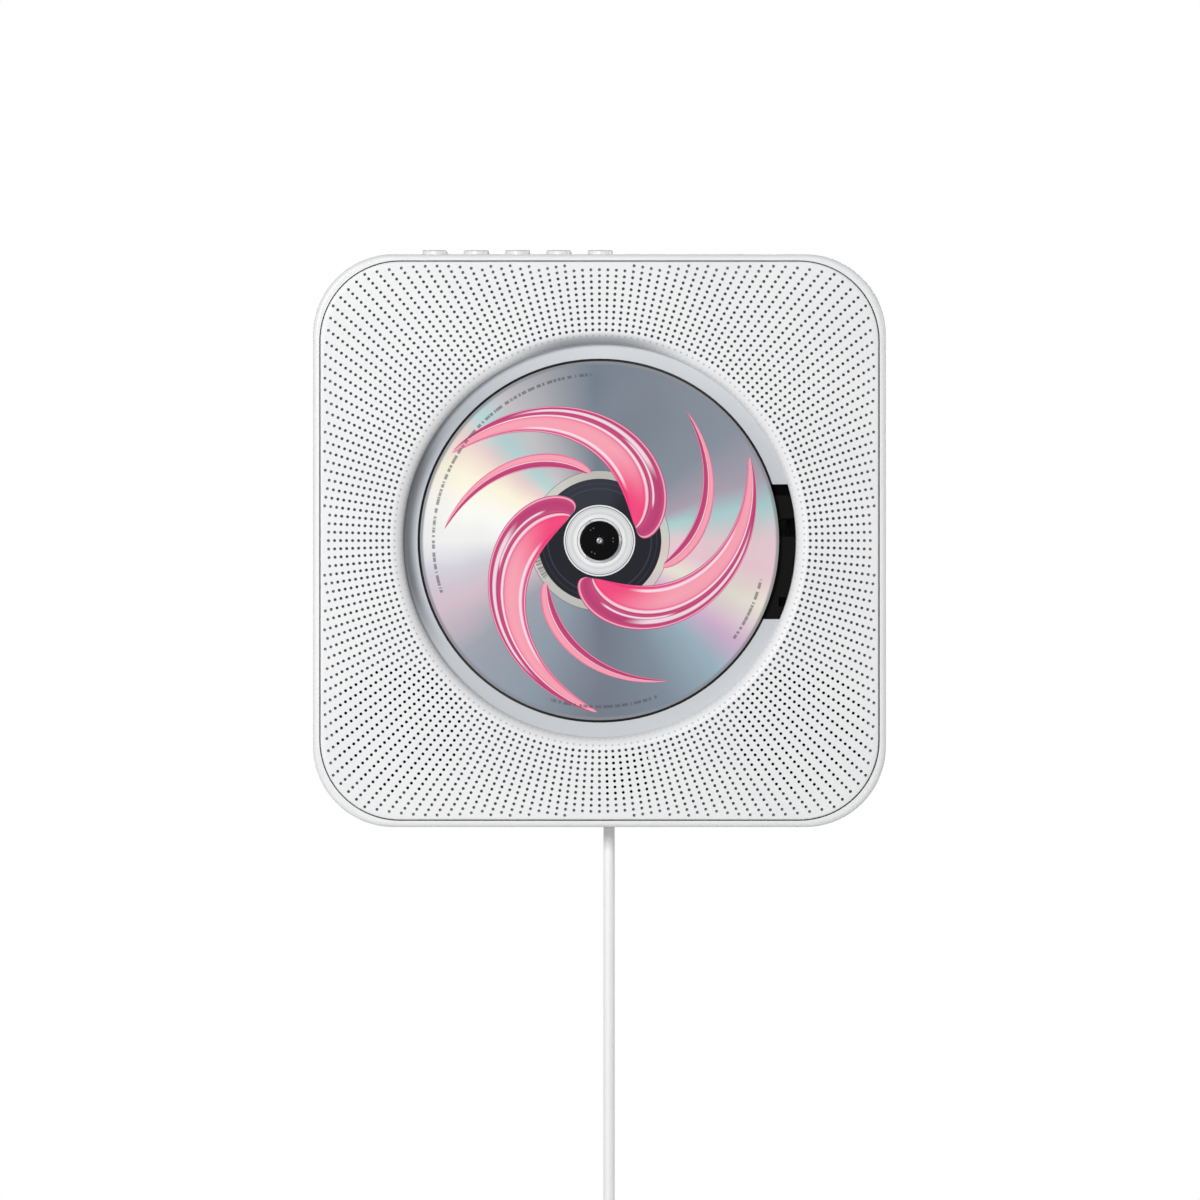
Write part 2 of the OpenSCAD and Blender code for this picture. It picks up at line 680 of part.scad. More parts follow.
module deck_frame() color([0.07, 0.07, 0.075]) stand() difference() {
    union() {
        translate([0, 0, deck_top - deck_t]) linear_extrude(deck_t) difference() {
            slot_area(0);
            circle(cup_in);
            for (w = deck_windows) translate([w[0], w[1]]) square([w[2], w[3]]);
        }
        translate([0, 0, deck_bottom]) linear_extrude(deck_top - deck_t - deck_bottom) difference() {
            slot_area(0);
            slot_area(-deck_wall);
        }
        translate([0, 0, cup_z]) linear_extrude(deck_top - deck_t - cup_z) difference() {
            circle(cup_in + deck_wall);
            circle(cup_in);
        }
        translate([0, 0, cup_z]) cylinder(r = cup_in, h = 1.5);
        for (sx = [-1, 1], sy = [-1, 1]) translate([sx * 12, sy * 15, cup_z])
            cube([1.5, 7, 2 * (deck_top - deck_t - cup_z)], center = true);
        for (p = deck_ears) {
            translate([p[0], p[1], ear_z]) cylinder(r = damper_r + 1, h = ear_t);
            translate([p[0] - 4, p[1] > 0 ? deck_up - 0.5 : p[1], ear_z])
                cube([8, ear_out + 0.5, ear_t]);
        }
        translate([gear_x, gear_y, pin_boss_z])
            cylinder(r = pin_boss_r, h = deck_top - deck_t - pin_boss_z);
        translate([gear_x - 8.5, pinion_y - sled_motor_r - 0.8, motor_ear_z])
            cube([17, gear_y - pinion_y + sled_motor_r + 0.8 - 5.2, motor_ear_t]);
    }
    for (p = deck_ears) translate([p[0], p[1], ear_z - 1]) cylinder(r = damper_neck_r, h = ear_t + 2);
    cylinder(r = 4.5, h = deck_top);
    translate([gear_x - 6, -deck_down - 1, deck_bottom - 1])
        cube([12, 6, pin_boss_z - deck_bottom + 1]);
    translate([gear_x, gear_y, deck_bottom]) cylinder(r = pin_r, h = deck_top - deck_t - deck_bottom - 1);
    translate([gear_x, pinion_y, deck_bottom - 5]) cylinder(r = 2, h = 10);
    translate([50, deck_up - 3.4, deck_top - 1.2]) cube([20, 4, 2]);
}

module deck_dampers() color([0.1, 0.1, 0.1]) stand() for (p = deck_ears)
    translate([p[0], p[1], ear_z - 2]) difference() {
        union() {
            cylinder(r = damper_r, h = 2);
            cylinder(r = damper_neck_r, h = damper_h);
            translate([0, 0, 2 + ear_t]) cylinder(r = damper_r, h = damper_h - 2 - ear_t);
        }
        translate([0, 0, -1]) cylinder(r = small_r + fit, h = damper_h + 2);
    }

module spindle_motor() color("silver") stand() difference() {
    union() {
        translate([0, 0, cup_z - motor_h]) cylinder(r = motor_r, h = motor_h);
        translate([0, 0, cup_z]) cylinder(r = 3, h = 1);
    }
    translate([0, 0, cup_z - motor_h + 1]) cylinder(r = spindle_r + fit, h = motor_h + 2);
}

module sled_motor() color("silver") stand() difference() {
    translate([gear_x, pinion_y, motor_ear_z + motor_ear_t]) cylinder(r = sled_motor_r, h = sled_motor_h);
    translate([gear_x, pinion_y, motor_ear_z]) cylinder(r = 0.75 + fit, h = sled_motor_h);
}

module guide_rods() color("silver") stand() for (y = [rod_up, -rod_down]) {
    left = deck_left - deck_wall - 0.1;
    right = sqrt(pow(deck_r - deck_wall, 2) - pow(abs(y) + rod_r, 2)) - 0.1;
    translate([-left, y, rod_z]) along_x() cylinder(r = rod_r, h = left + right);
}

module gear_pin() color("silver") stand() translate([gear_x, gear_y, 0]) {
    translate([0, 0, gear_z - 0.2]) cylinder(r = pin_r, h = deck_top - deck_t - 1 - gear_z + 0.2);
    translate([0, 0, gear_z - 0.9]) cylinder(r = 1.9, h = 0.7);
}

module limit_switch() color([0.12, 0.12, 0.13]) stand() {
    translate([9.5, deck_up - deck_wall - 5, sled_z - 3]) cube([5, 5, 4.5]);
    translate([14.5, deck_up - deck_wall - 3.4, sled_z]) cube([0.5, 1.8, 1]);
}

module turntable() color("white") stand() difference() {
    union() {
        translate([0, 0, flange_z]) cylinder(r = flange_r, h = disc_z - mat_t - flange_z, $fn = 96);
        translate([0, 0, flange_z]) cylinder(r = hub_r, h = boss_top - flange_z, $fn = 96);
        translate([0, 0, flange_z - 2]) cylinder(r = 4, h = 3);
    }
    cylinder(r = spindle_r, h = rim_z);
    ball_pockets();
}

module ball_pockets() for (a = ball_angles) rotate(a)
    translate([ball_at - ball_r - ball_travel - 0.3, 0, ball_z]) along_x()
        cylinder(r = ball_r + 0.1, h = hub_r + 0.2 - ball_at + ball_r + ball_travel + 0.3);

module turntable_mat() color("gainsboro") stand() difference() {
    translate([0, 0, disc_z - mat_t]) cylinder(r = mat_r, h = mat_t, $fn = 96);
    cylinder(r = hub_r + 0.9, h = rim_z, $fn = 96);
}

module hub_cap() color([0.05, 0.05, 0.055]) stand() difference() {
    union() {
        translate([0, 0, boss_top]) cylinder(r = cap_r, h = cap_h - 0.5, $fn = 96);
        translate([0, 0, boss_top]) cylinder(r = cap_r - 0.5, h = cap_h, $fn = 96);
        translate([0, 0, boss_top + cap_h - 0.5]) rotate_extrude($fn = 96)
            translate([cap_r - 0.5, 0]) circle(0.5, $fn = 32);
    }
    cylinder(r = spindle_r, h = rim_z);
    ball_pockets();
}

module spindle() color("silver") stand()
    translate([0, 0, cup_z - motor_h + 1.5])
        cylinder(r = spindle_r, h = boss_top + cap_h + 0.3 - cup_z + motor_h - 1.5);

module ball(k) color("silver") stand() rotate(ball_angles[k - 1])
    translate([ball_at, 0, ball_z]) sphere(ball_r, $fn = 48);

module ball_1() ball(1);

module ball_2() ball(2);

module ball_3() ball(3);

module disc() color("lightpink") stand() difference() {
    translate([0, 0, disc_z]) cylinder(r = disc_r, h = disc_t, $fn = 200);
    cylinder(r = disc_bore_r, h = rim_z, $fn = 96);
}

module pickup_body() color([0.1, 0.1, 0.11]) stand() difference() {
    union() {
        translate([lens_start - sled_back, -sled_down, sled_z])
            cube([sled_back + sled_front, sled_up + sled_down, sled_h]);
        translate([0, 0, sled_z - rack_h]) linear_extrude(rack_h) rack_outline();
    }
    translate([lens_start - sled_back - 1, rod_up, rod_z])
        along_x() cylinder(r = rod_r + fit, h = sled_back + sled_front + 2);
    translate([lens_start - sled_back - 1, -sled_down - 1, rod_z - rod_r - 0.1])
        cube([sled_back + sled_front + 2, sled_down + 1 - rod_down + rod_r + 0.1, 2 * rod_r + 0.2]);
    translate([lens_start - 3.8, -8.3, sled_top - 4 - focus_travel]) cube([6.8, 16.6, 10]);
}

// The rack on the pickup's underside: its gap, not a tooth, faces the gear at rest
module rack_outline() {
    p = PI * rack_module;
    right = lens_start + sled_front;
    left = gear_x - pickup_travel - 2;
    tooth = (p / 2 - backlash) / 2;
    root = rack_pitch_y + 1.25 * rack_module;
    tip = rack_pitch_y - rack_module;
    translate([left, root]) square([right - left, 3.4]);
    for (k = [ceil((left + 1 - gear_x) / p):floor((right - 1 - gear_x) / p) - 1]) {
        x = gear_x + (k + 0.5) * p;
        wide = tooth + 1.25 * rack_module * tan(20);
        narrow = tooth - rack_module * tan(20);
        polygon([[x - wide, root + 0.1], [x - wide, root], [x - narrow, tip], [x + narrow, tip],
                 [x + wide, root], [x + wide, root + 0.1]]);
    }
}

module lens_holder() color([0.2, 0.2, 0.22]) stand() difference() {
    union() {
        translate([lens_start - 3, -7.5, sled_top - 3.5]) cube([5.4, 15, 3.9]);
        translate([lens_start, 0, sled_top]) cylinder(r = lens_r + 0.4, h = deck_top - 0.2 - sled_top);
    }
    translate([lens_start, 0, sled_top - 5]) cylinder(r = lens_r - 0.6, h = 20);
}

module lens() color("lightskyblue") stand() translate([lens_start, 0, deck_top - 0.2])
    cylinder(r = lens_r, h = 0.4);

module drive_gear() color("ivory") stand() translate([gear_x, gear_y, 0]) difference() {
    union() {
        translate([0, 0, gear_z]) linear_extrude(gear_t) polygon(gear_outline(gear_teeth, gear_module));
        translate([0, 0, gear_z + gear_t]) linear_extrude(small_gear_t)
            rotate(90) polygon(gear_outline(rack_teeth, rack_module));
    }
    cylinder(r = pin_r + fit, h = rim_z);
}

module motor_pinion() color("ivory") stand() translate([gear_x, pinion_y, 0]) {
    translate([0, 0, gear_z]) linear_extrude(gear_t) difference() {
        polygon(gear_outline(pinion_teeth, gear_module));
        circle(0.75);
    }
    translate([0, 0, gear_z]) cylinder(r = 0.75, h = motor_ear_z + motor_ear_t - gear_z + sled_motor_h - 4);
}

// Half sections of the speaker, from its front flange at z = 0 down, to turn about Y
module basket_profile() polygon([
    [speaker_r - surround_in, 0], [speaker_r, 0], [speaker_r, -1.5], [speaker_r - 1.1, -1.5],
    [basket_neck_r, -basket_depth], [coil_gap_r, -basket_depth],
    [coil_gap_r, basket_t - basket_depth], [basket_neck_r - 0.8, basket_t - basket_depth],
    [speaker_r - 2.6, -1.5], [speaker_r - surround_in, -1.5]]);

module speaker_baskets() color([0.15, 0.15, 0.16]) stand() at_speakers()
    translate([0, 0, speaker_z]) {
        difference() {
            rotate_extrude($fn = 96) basket_profile();
            for (a = [45:90:315]) rotate(a)
                translate([basket_neck_r - 1.8, -5, 2.2 - basket_depth]) cube([10, 10, 6]);
        }
        translate([-2, speaker_r - terminal_in, 2.7 - basket_depth]) cube([4, 3, 2]);
    }

module speaker_magnets() color([0.3, 0.3, 0.32]) stand() at_speakers()
    translate([0, 0, speaker_z - basket_depth - magnet_h]) rotate_extrude($fn = 96) polygon([
        [0, 0], [magnet_r, 0], [magnet_r, magnet_h], [coil_gap_r, magnet_h], [coil_gap_r, 2],
        [pole_r, 2], [pole_r, magnet_h], [0, magnet_h]]);

// Paper cone with its voice coil, dust cap and rubber surround
module cone_profile() {
    edge = speaker_r - surround_in - free;
    low = -cone_travel - 1;
    former = pole_r + 0.5;
    neck = -basket_depth + 4.5;
    polygon(concat(
        [[former, -basket_depth - 5.3], [former + 0.5, -basket_depth - 5.3],
         [former + 0.5, neck - 0.9], [edge - 2, low], [edge, low], [edge, low + 0.6],
         [edge - 2.2, low + 0.6], [coil_gap_r, neck]],
        [for (a = [75:-15:0]) [coil_gap_r * sin(a), neck + 2 * cos(a)]],
        [for (a = [0:15:75]) [former * sin(a), neck - 0.5 + 2 * cos(a)]]));
}

module cone(side) color([0.12, 0.12, 0.13]) stand()
    translate([side * speaker_x, speaker_y, speaker_z]) rotate_extrude($fn = 96) cone_profile();

module left_cone() cone(-1);

module right_cone() cone(1);

module speaker_cloths() color([0.08, 0.08, 0.08]) stand() at_speakers()
    translate([0, 0, panel_z - cloth_t]) cylinder(r = speaker_r, h = cloth_t, $fn = 96);

module main_board() color("darkgreen") stand() difference() {
    translate([0, 0, board_z]) linear_extrude(board_t) {
        translate([-board_w / 2, board_y]) square([board_w + board_tongue, board_h]);
        translate([inner - socket_board_in - socket_board_w, socket_board_low])
            square([socket_board_w, board_y + 16 - socket_board_low]);
    }
    for (p = board_posts) translate(p) cylinder(r = small_r + fit, h = rim_z);
}

module board_parts() color([0.12, 0.12, 0.13]) stand() translate([0, 0, board_top]) {
    for (c = chips) translate([c[0], board_y + c[1], 0]) cube([c[2], c[3], c[4]]);
    for (x = can_xs) translate([x, board_y + can_up, 0]) cylinder(r = can_r, h = can_h);
}

module key_board() color("darkgreen") stand()
    translate([key_board_x - key_board_w / 2, key_board_y, key_z - key_board_d / 2 + 0.5])
        cube([key_board_w, board_t, key_board_d - 1]);

module key_switches() color([0.2, 0.2, 0.2]) stand() for (k = [0:key_count - 1])
    translate([key_last - k * key_pitch, key_board_y + board_t, key_z]) difference() {
        translate([-switch_w / 2, 0, -switch_w / 2]) cube([switch_w, switch_h, switch_w]);
        translate([0, switch_h - key_travel - 0.5, 0]) along_y() cylinder(r = key_stem_r + 0.25, h = 5);
    }

// Key k, counted from the left
module key(k) color("white") stand()
    translate([key_last - (key_count - k) * key_pitch, 0, key_z]) along_y_at(inner - 0.2 - key_flange_t) {
        cylinder(r = key_flange_r, h = key_flange_t);
        cylinder(r = key_r, h = key_flange_t + side_wall + key_proud + 0.2 - 0.6);
        cylinder(r = key_r - 0.6, h = key_flange_t + side_wall + key_proud + 0.2);
        translate([0, 0, key_flange_t + side_wall + key_proud - 0.4]) rotate_extrude()
            translate([key_r - 0.6, 0]) circle(0.6, $fn = 32);
        translate([0, 0, switch_top - 0.3 - inner + 0.2 + key_flange_t])
            cylinder(r = key_stem_r, h = inner - 0.2 - key_flange_t - switch_top + 0.3 + 0.5);
    }

module along_y_at(y) translate([0, y, 0]) along_y() children();

module data_socket() color("silver") stand() translate([half - 15.3, usb_y - usb_w / 2, board_top]) {
    difference() {
        cube([15, usb_w, usb_h]);
        translate([2, 0.4, 0.4]) cube([15, usb_w - 0.8, usb_h - 0.8]);
    }
    translate([1, 1, usb_h - 2.4]) cube([12.6, usb_w - 2, 1.6]);
}

module jack(y) color([0.08, 0.08, 0.08]) stand() difference() {
    union() {
        translate([inner - 12.2, y - 3.2, board_top]) cube([12, 6.4, 6]);
        translate([inner - 2, y, jack_z]) along_x() cylinder(r = jack_nose_r, h = side_wall + 1.8);
    }
    translate([inner - jack_depth, y, jack_z]) along_x() cylinder(r = jack_bore_r, h = 2 * jack_depth);
}

module aux_jack() jack(jack_ys[0]);

module headphone_jack() jack(jack_ys[1]);

module switch_housing() color("ivory") stand() difference() {
    union() {
        translate([cord_x - housing_w / 2, housing_bottom, cord_z - housing_w / 2])
            cube([housing_w, housing_top - housing_bottom, housing_w - housing_wall]);
        for (sx = [-1, 1]) translate([cord_x + sx * (housing_w / 2 - 1.5) - 1.5, housing_top - 16, inside_z])
            cube([3, 10, cord_z - housing_w / 2 - inside_z]);
    }
    translate([cord_x - cavity_w / 2, housing_bottom + housing_wall, cord_z - cavity_w / 2])
        cube([cavity_w, housing_top - housing_bottom - 2 * housing_wall, housing_w]);
    translate([cord_x, -half, cord_z]) along_y() cylinder(r = cord_r + 0.4, h = 12);
}

module switch_lid() color("ivory") stand()
    translate([cord_x - housing_w / 2, housing_bottom, cord_z + housing_w / 2 - housing_wall])
        cube([housing_w, housing_top - housing_bottom, housing_wall]);

module pull_slider() color([0.85, 0.3, 0.25]) stand()
    translate([cord_x - slider_w / 2, slider_top - slider_h, cord_z - slider_w / 2])
        cube([slider_w, slider_h, slider_w]);

module pull_spring() color("silver") stand() {
    low = housing_bottom + housing_wall + spring_wire + 0.05;
    high = slider_top - slider_h - spring_wire - 0.05;
    steps = spring_turns * 16;
    tube([for (i = [0:steps]) [cord_x + spring_r * cos(i * 22.5), low + (high - low) * i / steps,
                               cord_z + spring_r * sin(i * 22.5)]],
         spring_wire, [0, 1, 0], 6);
}

module power_switch() color([0.12, 0.12, 0.13]) stand()
    translate([cord_x + housing_w / 2, housing_top - 14, cord_z - 5]) cube([4, 10, 10]);

module cord_bushing() color("white") stand() translate([cord_x, -half, cord_z]) along_y() difference() {
    union() {
        cylinder(r = bushing_r, h = side_wall);
        translate([0, 0, side_wall]) cylinder(r = bushing_r + 1.3, h = bushing_flange_t);
    }
    translate([0, 0, -1]) cylinder(r = cord_r + free, h = 10);
}

module ir_receiver() color([0.1, 0.06, 0.08]) stand()
    translate([ir_x, ir_y, cord_z + housing_w / 2]) {
        translate([-3, -3, 0]) cube([6, 6, 5]);
        cylinder(r = 2.2, h = 6.5);
    }

module ir_window() color([0.05, 0.03, 0.04]) stand()
    translate([ir_x - ir_w / 2, ir_low, panel_z - 1]) cube([ir_w, ir_top - ir_low, 1]);

module cord() color("white") stand() {
    tube(cord_points, cord_r, [0, 0, 1]);
    tube(tail_points, cord_r, [0, 0, 1]);
}

module cord_coil() color("white") stand() translate(coil_at) rotate_extrude($fn = 96)
    translate([coil_r - coil_half, -coil_half]) square(2 * coil_half);

module coil_tie() color([0.15, 0.15, 0.16]) stand() translate(coil_at) rotate(tie_angle)
    rotate_extrude(angle = tie_span, $fn = 96) difference() {
        translate([coil_r - coil_half - tie_t, -coil_half - tie_t]) square(2 * (coil_half + tie_t));
        translate([coil_r - coil_half, -coil_half]) square(2 * coil_half);
    }

// The plug hangs from the end of the tail
module at_tail_end() translate(tail_points[len(tail_points) - 1]) rotate([90, 0, 0]) children();

module plug() color("white") stand() at_tail_end() {
    cylinder(r1 = cord_r + 0.5, r2 = 3.4, h = plug_relief);
    translate([0, 0, plug_relief]) linear_extrude(plug_len) rounded_square(plug_w, plug_h, 2);
}

module plug_shell() color("silver") stand() at_tail_end() translate([0, 0, plug_relief + plug_len])
    difference() {
        linear_extrude(shell_len) square([shell_w, shell_h], center = true);
        translate([0, 0.6, 1]) linear_extrude(shell_len) square([shell_w - 0.8, shell_h - 2], center = true);
    }

module speaker_leads() color([0.6, 0.1, 0.1]) stand() {
    tube(left_lead, lead_r, [1, 0, 0.35]);
    tube(right_lead, lead_r, [1, 0, 0.35]);
}

// The flat ribbon between the main board and the deck
module deck_ribbon() color("ivory") stand() {
    top = board_top + 3.5;
    low = deck_top - 10.2;
    high = deck_top - 5.2;
    turn = deck_top - 13.2;
    translate([-3, 0, 0]) rotate([90, 0, 90]) linear_extrude(14) polygon([
        [board_y + 4, top], [board_y - 4, top], [board_y - 10, top + 3], [deck_up + 3, turn],
        [deck_up + 1, low], [deck_up, low], [deck_up, high], [deck_up + ribbon_t, high],
        [deck_up + ribbon_t, low + ribbon_t], [deck_up + 1.3, low + ribbon_t],
        [deck_up + 3.3, turn + ribbon_t], [board_y - 9.9, top + 3 + ribbon_t],
        [board_y - 3.9, top + ribbon_t], [board_y + 4, top + ribbon_t]]);
}

wall_plate();
rear_cover();
side_frame();
front_panel();
disc_well();
bumper_pads();
case_screws();
small_screws();
deck_frame();
deck_dampers();
spindle_motor();
sled_motor();
guide_rods();
gear_pin();
limit_switch();
turntable();
turntable_mat();
hub_cap();
spindle();
ball_1();
ball_2();
ball_3();
disc();
pickup_body();
lens_holder();
lens();
drive_gear();
motor_pinion();
speaker_baskets();
speaker_magnets();
left_cone();
right_cone();
speaker_cloths();
main_board();
board_parts();
key_board();
key_switches();
for (k = [1:key_count]) key(k);
data_socket();
aux_jack();
headphone_jack();
switch_housing();
switch_lid();
pull_slider();
pull_spring();
power_switch();
cord_bushing();
ir_receiver();
ir_window();
cord();
cord_coil();
coil_tie();
plug();
plug_shell();
speaker_leads();
deck_ribbon();
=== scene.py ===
# %% [markdown]
# # A wall mounted disc player
#
# The solids of this player come from its construction model. They are right in size and
# they already move. This lesson dresses them for a picture: it sets up the camera and the
# light, gives every solid a finish, and builds in mesh code the few pieces that need finer
# shapes than a solid has. Nothing is moved, because the solids are the frame for the rest.

import json
import math

import bmesh
import bpy
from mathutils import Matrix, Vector
from mathutils.geometry import delaunay_2d_cdt

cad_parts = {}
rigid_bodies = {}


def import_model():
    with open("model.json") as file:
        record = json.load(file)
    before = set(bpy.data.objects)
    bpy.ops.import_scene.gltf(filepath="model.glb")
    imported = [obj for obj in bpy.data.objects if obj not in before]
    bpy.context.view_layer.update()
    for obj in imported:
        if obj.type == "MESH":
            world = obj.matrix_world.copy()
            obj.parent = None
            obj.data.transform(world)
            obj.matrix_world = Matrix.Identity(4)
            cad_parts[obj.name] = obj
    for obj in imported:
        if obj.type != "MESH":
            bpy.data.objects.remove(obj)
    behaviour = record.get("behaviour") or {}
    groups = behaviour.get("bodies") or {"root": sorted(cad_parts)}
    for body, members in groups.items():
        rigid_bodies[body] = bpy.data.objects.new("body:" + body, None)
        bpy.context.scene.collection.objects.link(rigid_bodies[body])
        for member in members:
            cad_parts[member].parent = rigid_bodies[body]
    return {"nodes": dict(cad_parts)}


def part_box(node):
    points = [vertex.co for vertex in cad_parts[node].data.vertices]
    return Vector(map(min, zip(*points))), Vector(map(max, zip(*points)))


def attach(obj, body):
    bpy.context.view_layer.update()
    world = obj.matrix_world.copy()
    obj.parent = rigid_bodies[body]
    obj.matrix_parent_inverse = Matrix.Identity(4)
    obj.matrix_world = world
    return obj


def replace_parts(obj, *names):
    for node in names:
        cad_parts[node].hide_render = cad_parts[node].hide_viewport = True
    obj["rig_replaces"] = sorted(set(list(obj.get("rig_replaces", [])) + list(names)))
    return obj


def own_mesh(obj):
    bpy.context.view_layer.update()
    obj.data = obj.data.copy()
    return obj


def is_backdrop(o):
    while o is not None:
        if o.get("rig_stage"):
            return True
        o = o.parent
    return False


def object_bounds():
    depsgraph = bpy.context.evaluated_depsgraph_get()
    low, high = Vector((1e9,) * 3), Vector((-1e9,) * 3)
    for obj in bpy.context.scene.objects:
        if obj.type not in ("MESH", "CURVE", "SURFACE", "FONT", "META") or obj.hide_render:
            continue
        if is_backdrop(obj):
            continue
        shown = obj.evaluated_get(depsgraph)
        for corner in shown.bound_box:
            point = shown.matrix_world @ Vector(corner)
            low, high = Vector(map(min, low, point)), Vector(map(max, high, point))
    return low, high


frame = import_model()
cad_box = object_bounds()
nodes = frame["nodes"]
print(len(nodes), "solids, from", [round(v, 4) for v in cad_box[0]], "to", [round(v, 4) for v in cad_box[1]])

# %% [markdown]
# ## Drawing as if the player lay on its back
#
# On the wall, the player's face looks along -Y, and heights run along Z from the bracket's
# screw holes. It is easier to draw its face flat: x to the right and y up from the body's
# middle, z out of the wall, all in millimetres. One function turns such a point into the
# scene's metres, and every piece below is drawn through it.

# %% From the drawing to the scene
MM = 0.001
BRACKET_UP = 38.0


def at(x, y, z):
    return Vector((x * MM, -z * MM, (y - BRACKET_UP) * MM))


def facing(x, y):
    """Gives a function that places (radius, degrees, z) round an axis out of the wall at x, y."""
    def place(r, degrees, z):
        a = math.radians(degrees)
        return at(x + r * math.cos(a), y + r * math.sin(a), z)

    return place


low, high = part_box("side_frame")
print("the body is", [round((high[i] - low[i]) / MM, 1) for i in range(3)], "mm, middle", at(0, 0, 0))

# %% [markdown]
# ## Sizes that the pieces share
#
# These repeat the construction model's values, because a piece that stands for a solid has
# to lie exactly where it lies.

# %% Shared sizes
RIM_Z, FACE_Z, PANEL_Z, LEDGE_Z = 44.0, 43.8, 41.8, 37.6
DISC_Z, DISC_TOP, DISC_R, BORE_R = 37.4, 38.6, 60.0, 7.5
WELL_R, SHOULDER = 65.5, 4.2
SHOULDER_OUT = WELL_R + SHOULDER
PANEL_HALF, PANEL_CORNER = 93.1, 26.6
SPEAKER = (67.5, -62.5, 22.5)
CORD_D, CORD_X, CORD_Z = 3.8, 3.2, 22.0
print("disc gap", round(WELL_R - DISC_R, 2), "mm of ledge round the disc")

# %% [markdown]
# ## The camera first
#
# The photograph looks straight at the wall and shows no side of the body. The keys stand
# 1.5 mm proud of the top edge, but 20 mm further back than the front, and they show at their
# full height. So the lens is very long: a metre of it, eleven metres away, sees the 400 mm
# of wall that the picture holds. The camera comes before any piece because the lead is
# measured against its view.

# %% Camera
SEEN = 0.400
DISTANCE = 11.1
camera_data = bpy.data.cameras.new("straight_on")
camera_data.sensor_width = 36.0
camera_data.lens = 36.0 * DISTANCE / SEEN
camera_data.clip_end = 40.0
camera = bpy.data.objects.new("straight_on", camera_data)
camera.location = at(0.17, -19.8, FACE_Z) - Vector((0, DISTANCE, 0))
camera.rotation_euler = (math.radians(90), 0, 0)
bpy.context.scene.collection.objects.link(camera)
bpy.context.scene.camera = camera
bpy.context.scene.view_settings.view_transform = "Standard"
print("lens", round(camera_data.lens), "mm")

# %% [markdown]
# ## Sums on sockets
#
# A finish is arithmetic: a row of dots is a distance compared with a radius. Wiring that by
# hand hides the idea, so a small class wraps a socket and lets Python's own operators add
# the Math nodes. A second one holds a material, and makes every other node in one method.


# %% A socket that can be added and multiplied
class Reading:
    def __init__(self, finish, socket):
        self.finish, self.socket = finish, socket

    def sum(self, operation, *values):
        made = self.finish.node("ShaderNodeMath", {"operation": operation}, dict(enumerate(values)))
        return made["Value"]

    def __add__(self, other):
        return self.sum("ADD", self, other)

    def __radd__(self, other):
        return self.sum("ADD", other, self)

    def __sub__(self, other):
        return self.sum("SUBTRACT", self, other)

    def __rsub__(self, other):
        return self.sum("SUBTRACT", other, self)

    def __mul__(self, other):
        return self.sum("MULTIPLY", self, other)

    def __rmul__(self, other):
        return self.sum("MULTIPLY", other, self)

    def __truediv__(self, other):
        return self.sum("DIVIDE", self, other)

    def __rtruediv__(self, other):
        return self.sum("DIVIDE", other, self)

    def __pow__(self, other):
        return self.sum("POWER", self, other)

    def __rpow__(self, other):
        return self.sum("POWER", other, self)

    def __abs__(self):
        return self.sum("ABSOLUTE", self)

    def least(self, other):
        return self.sum("MINIMUM", self, other)

    def most(self, other):
        return self.sum("MAXIMUM", self, other)

    def sine(self):
        return self.sum("SINE", self)

    def root(self):
        return self.sum("SQRT", self)

    def part(self):
        return self.sum("FRACT", self)

    def angle_to(self, other):
        return self.sum("ARCTAN2", self, other)

    def rise(self, start, end):
        """0 below start, 1 above end, with a soft step between; falls where end is below start."""
        sockets = {"Value": self, "From Min": start, "From Max": end}
        made = self.finish.node("ShaderNodeMapRange", {"interpolation_type": "SMOOTHSTEP"}, sockets)
        return made["Result"]

    def band(self, middle, half, soft):
        """1 within half of the middle, and 0 beyond that by soft."""
        return abs(self - middle).rise(half + soft, half)


# %% A material and its one way to make a node
class Made:
    def __init__(self, finish, node):
        self.finish, self.node = finish, node

    def __getitem__(self, name):
        return Reading(self.finish, self.node.outputs[name])


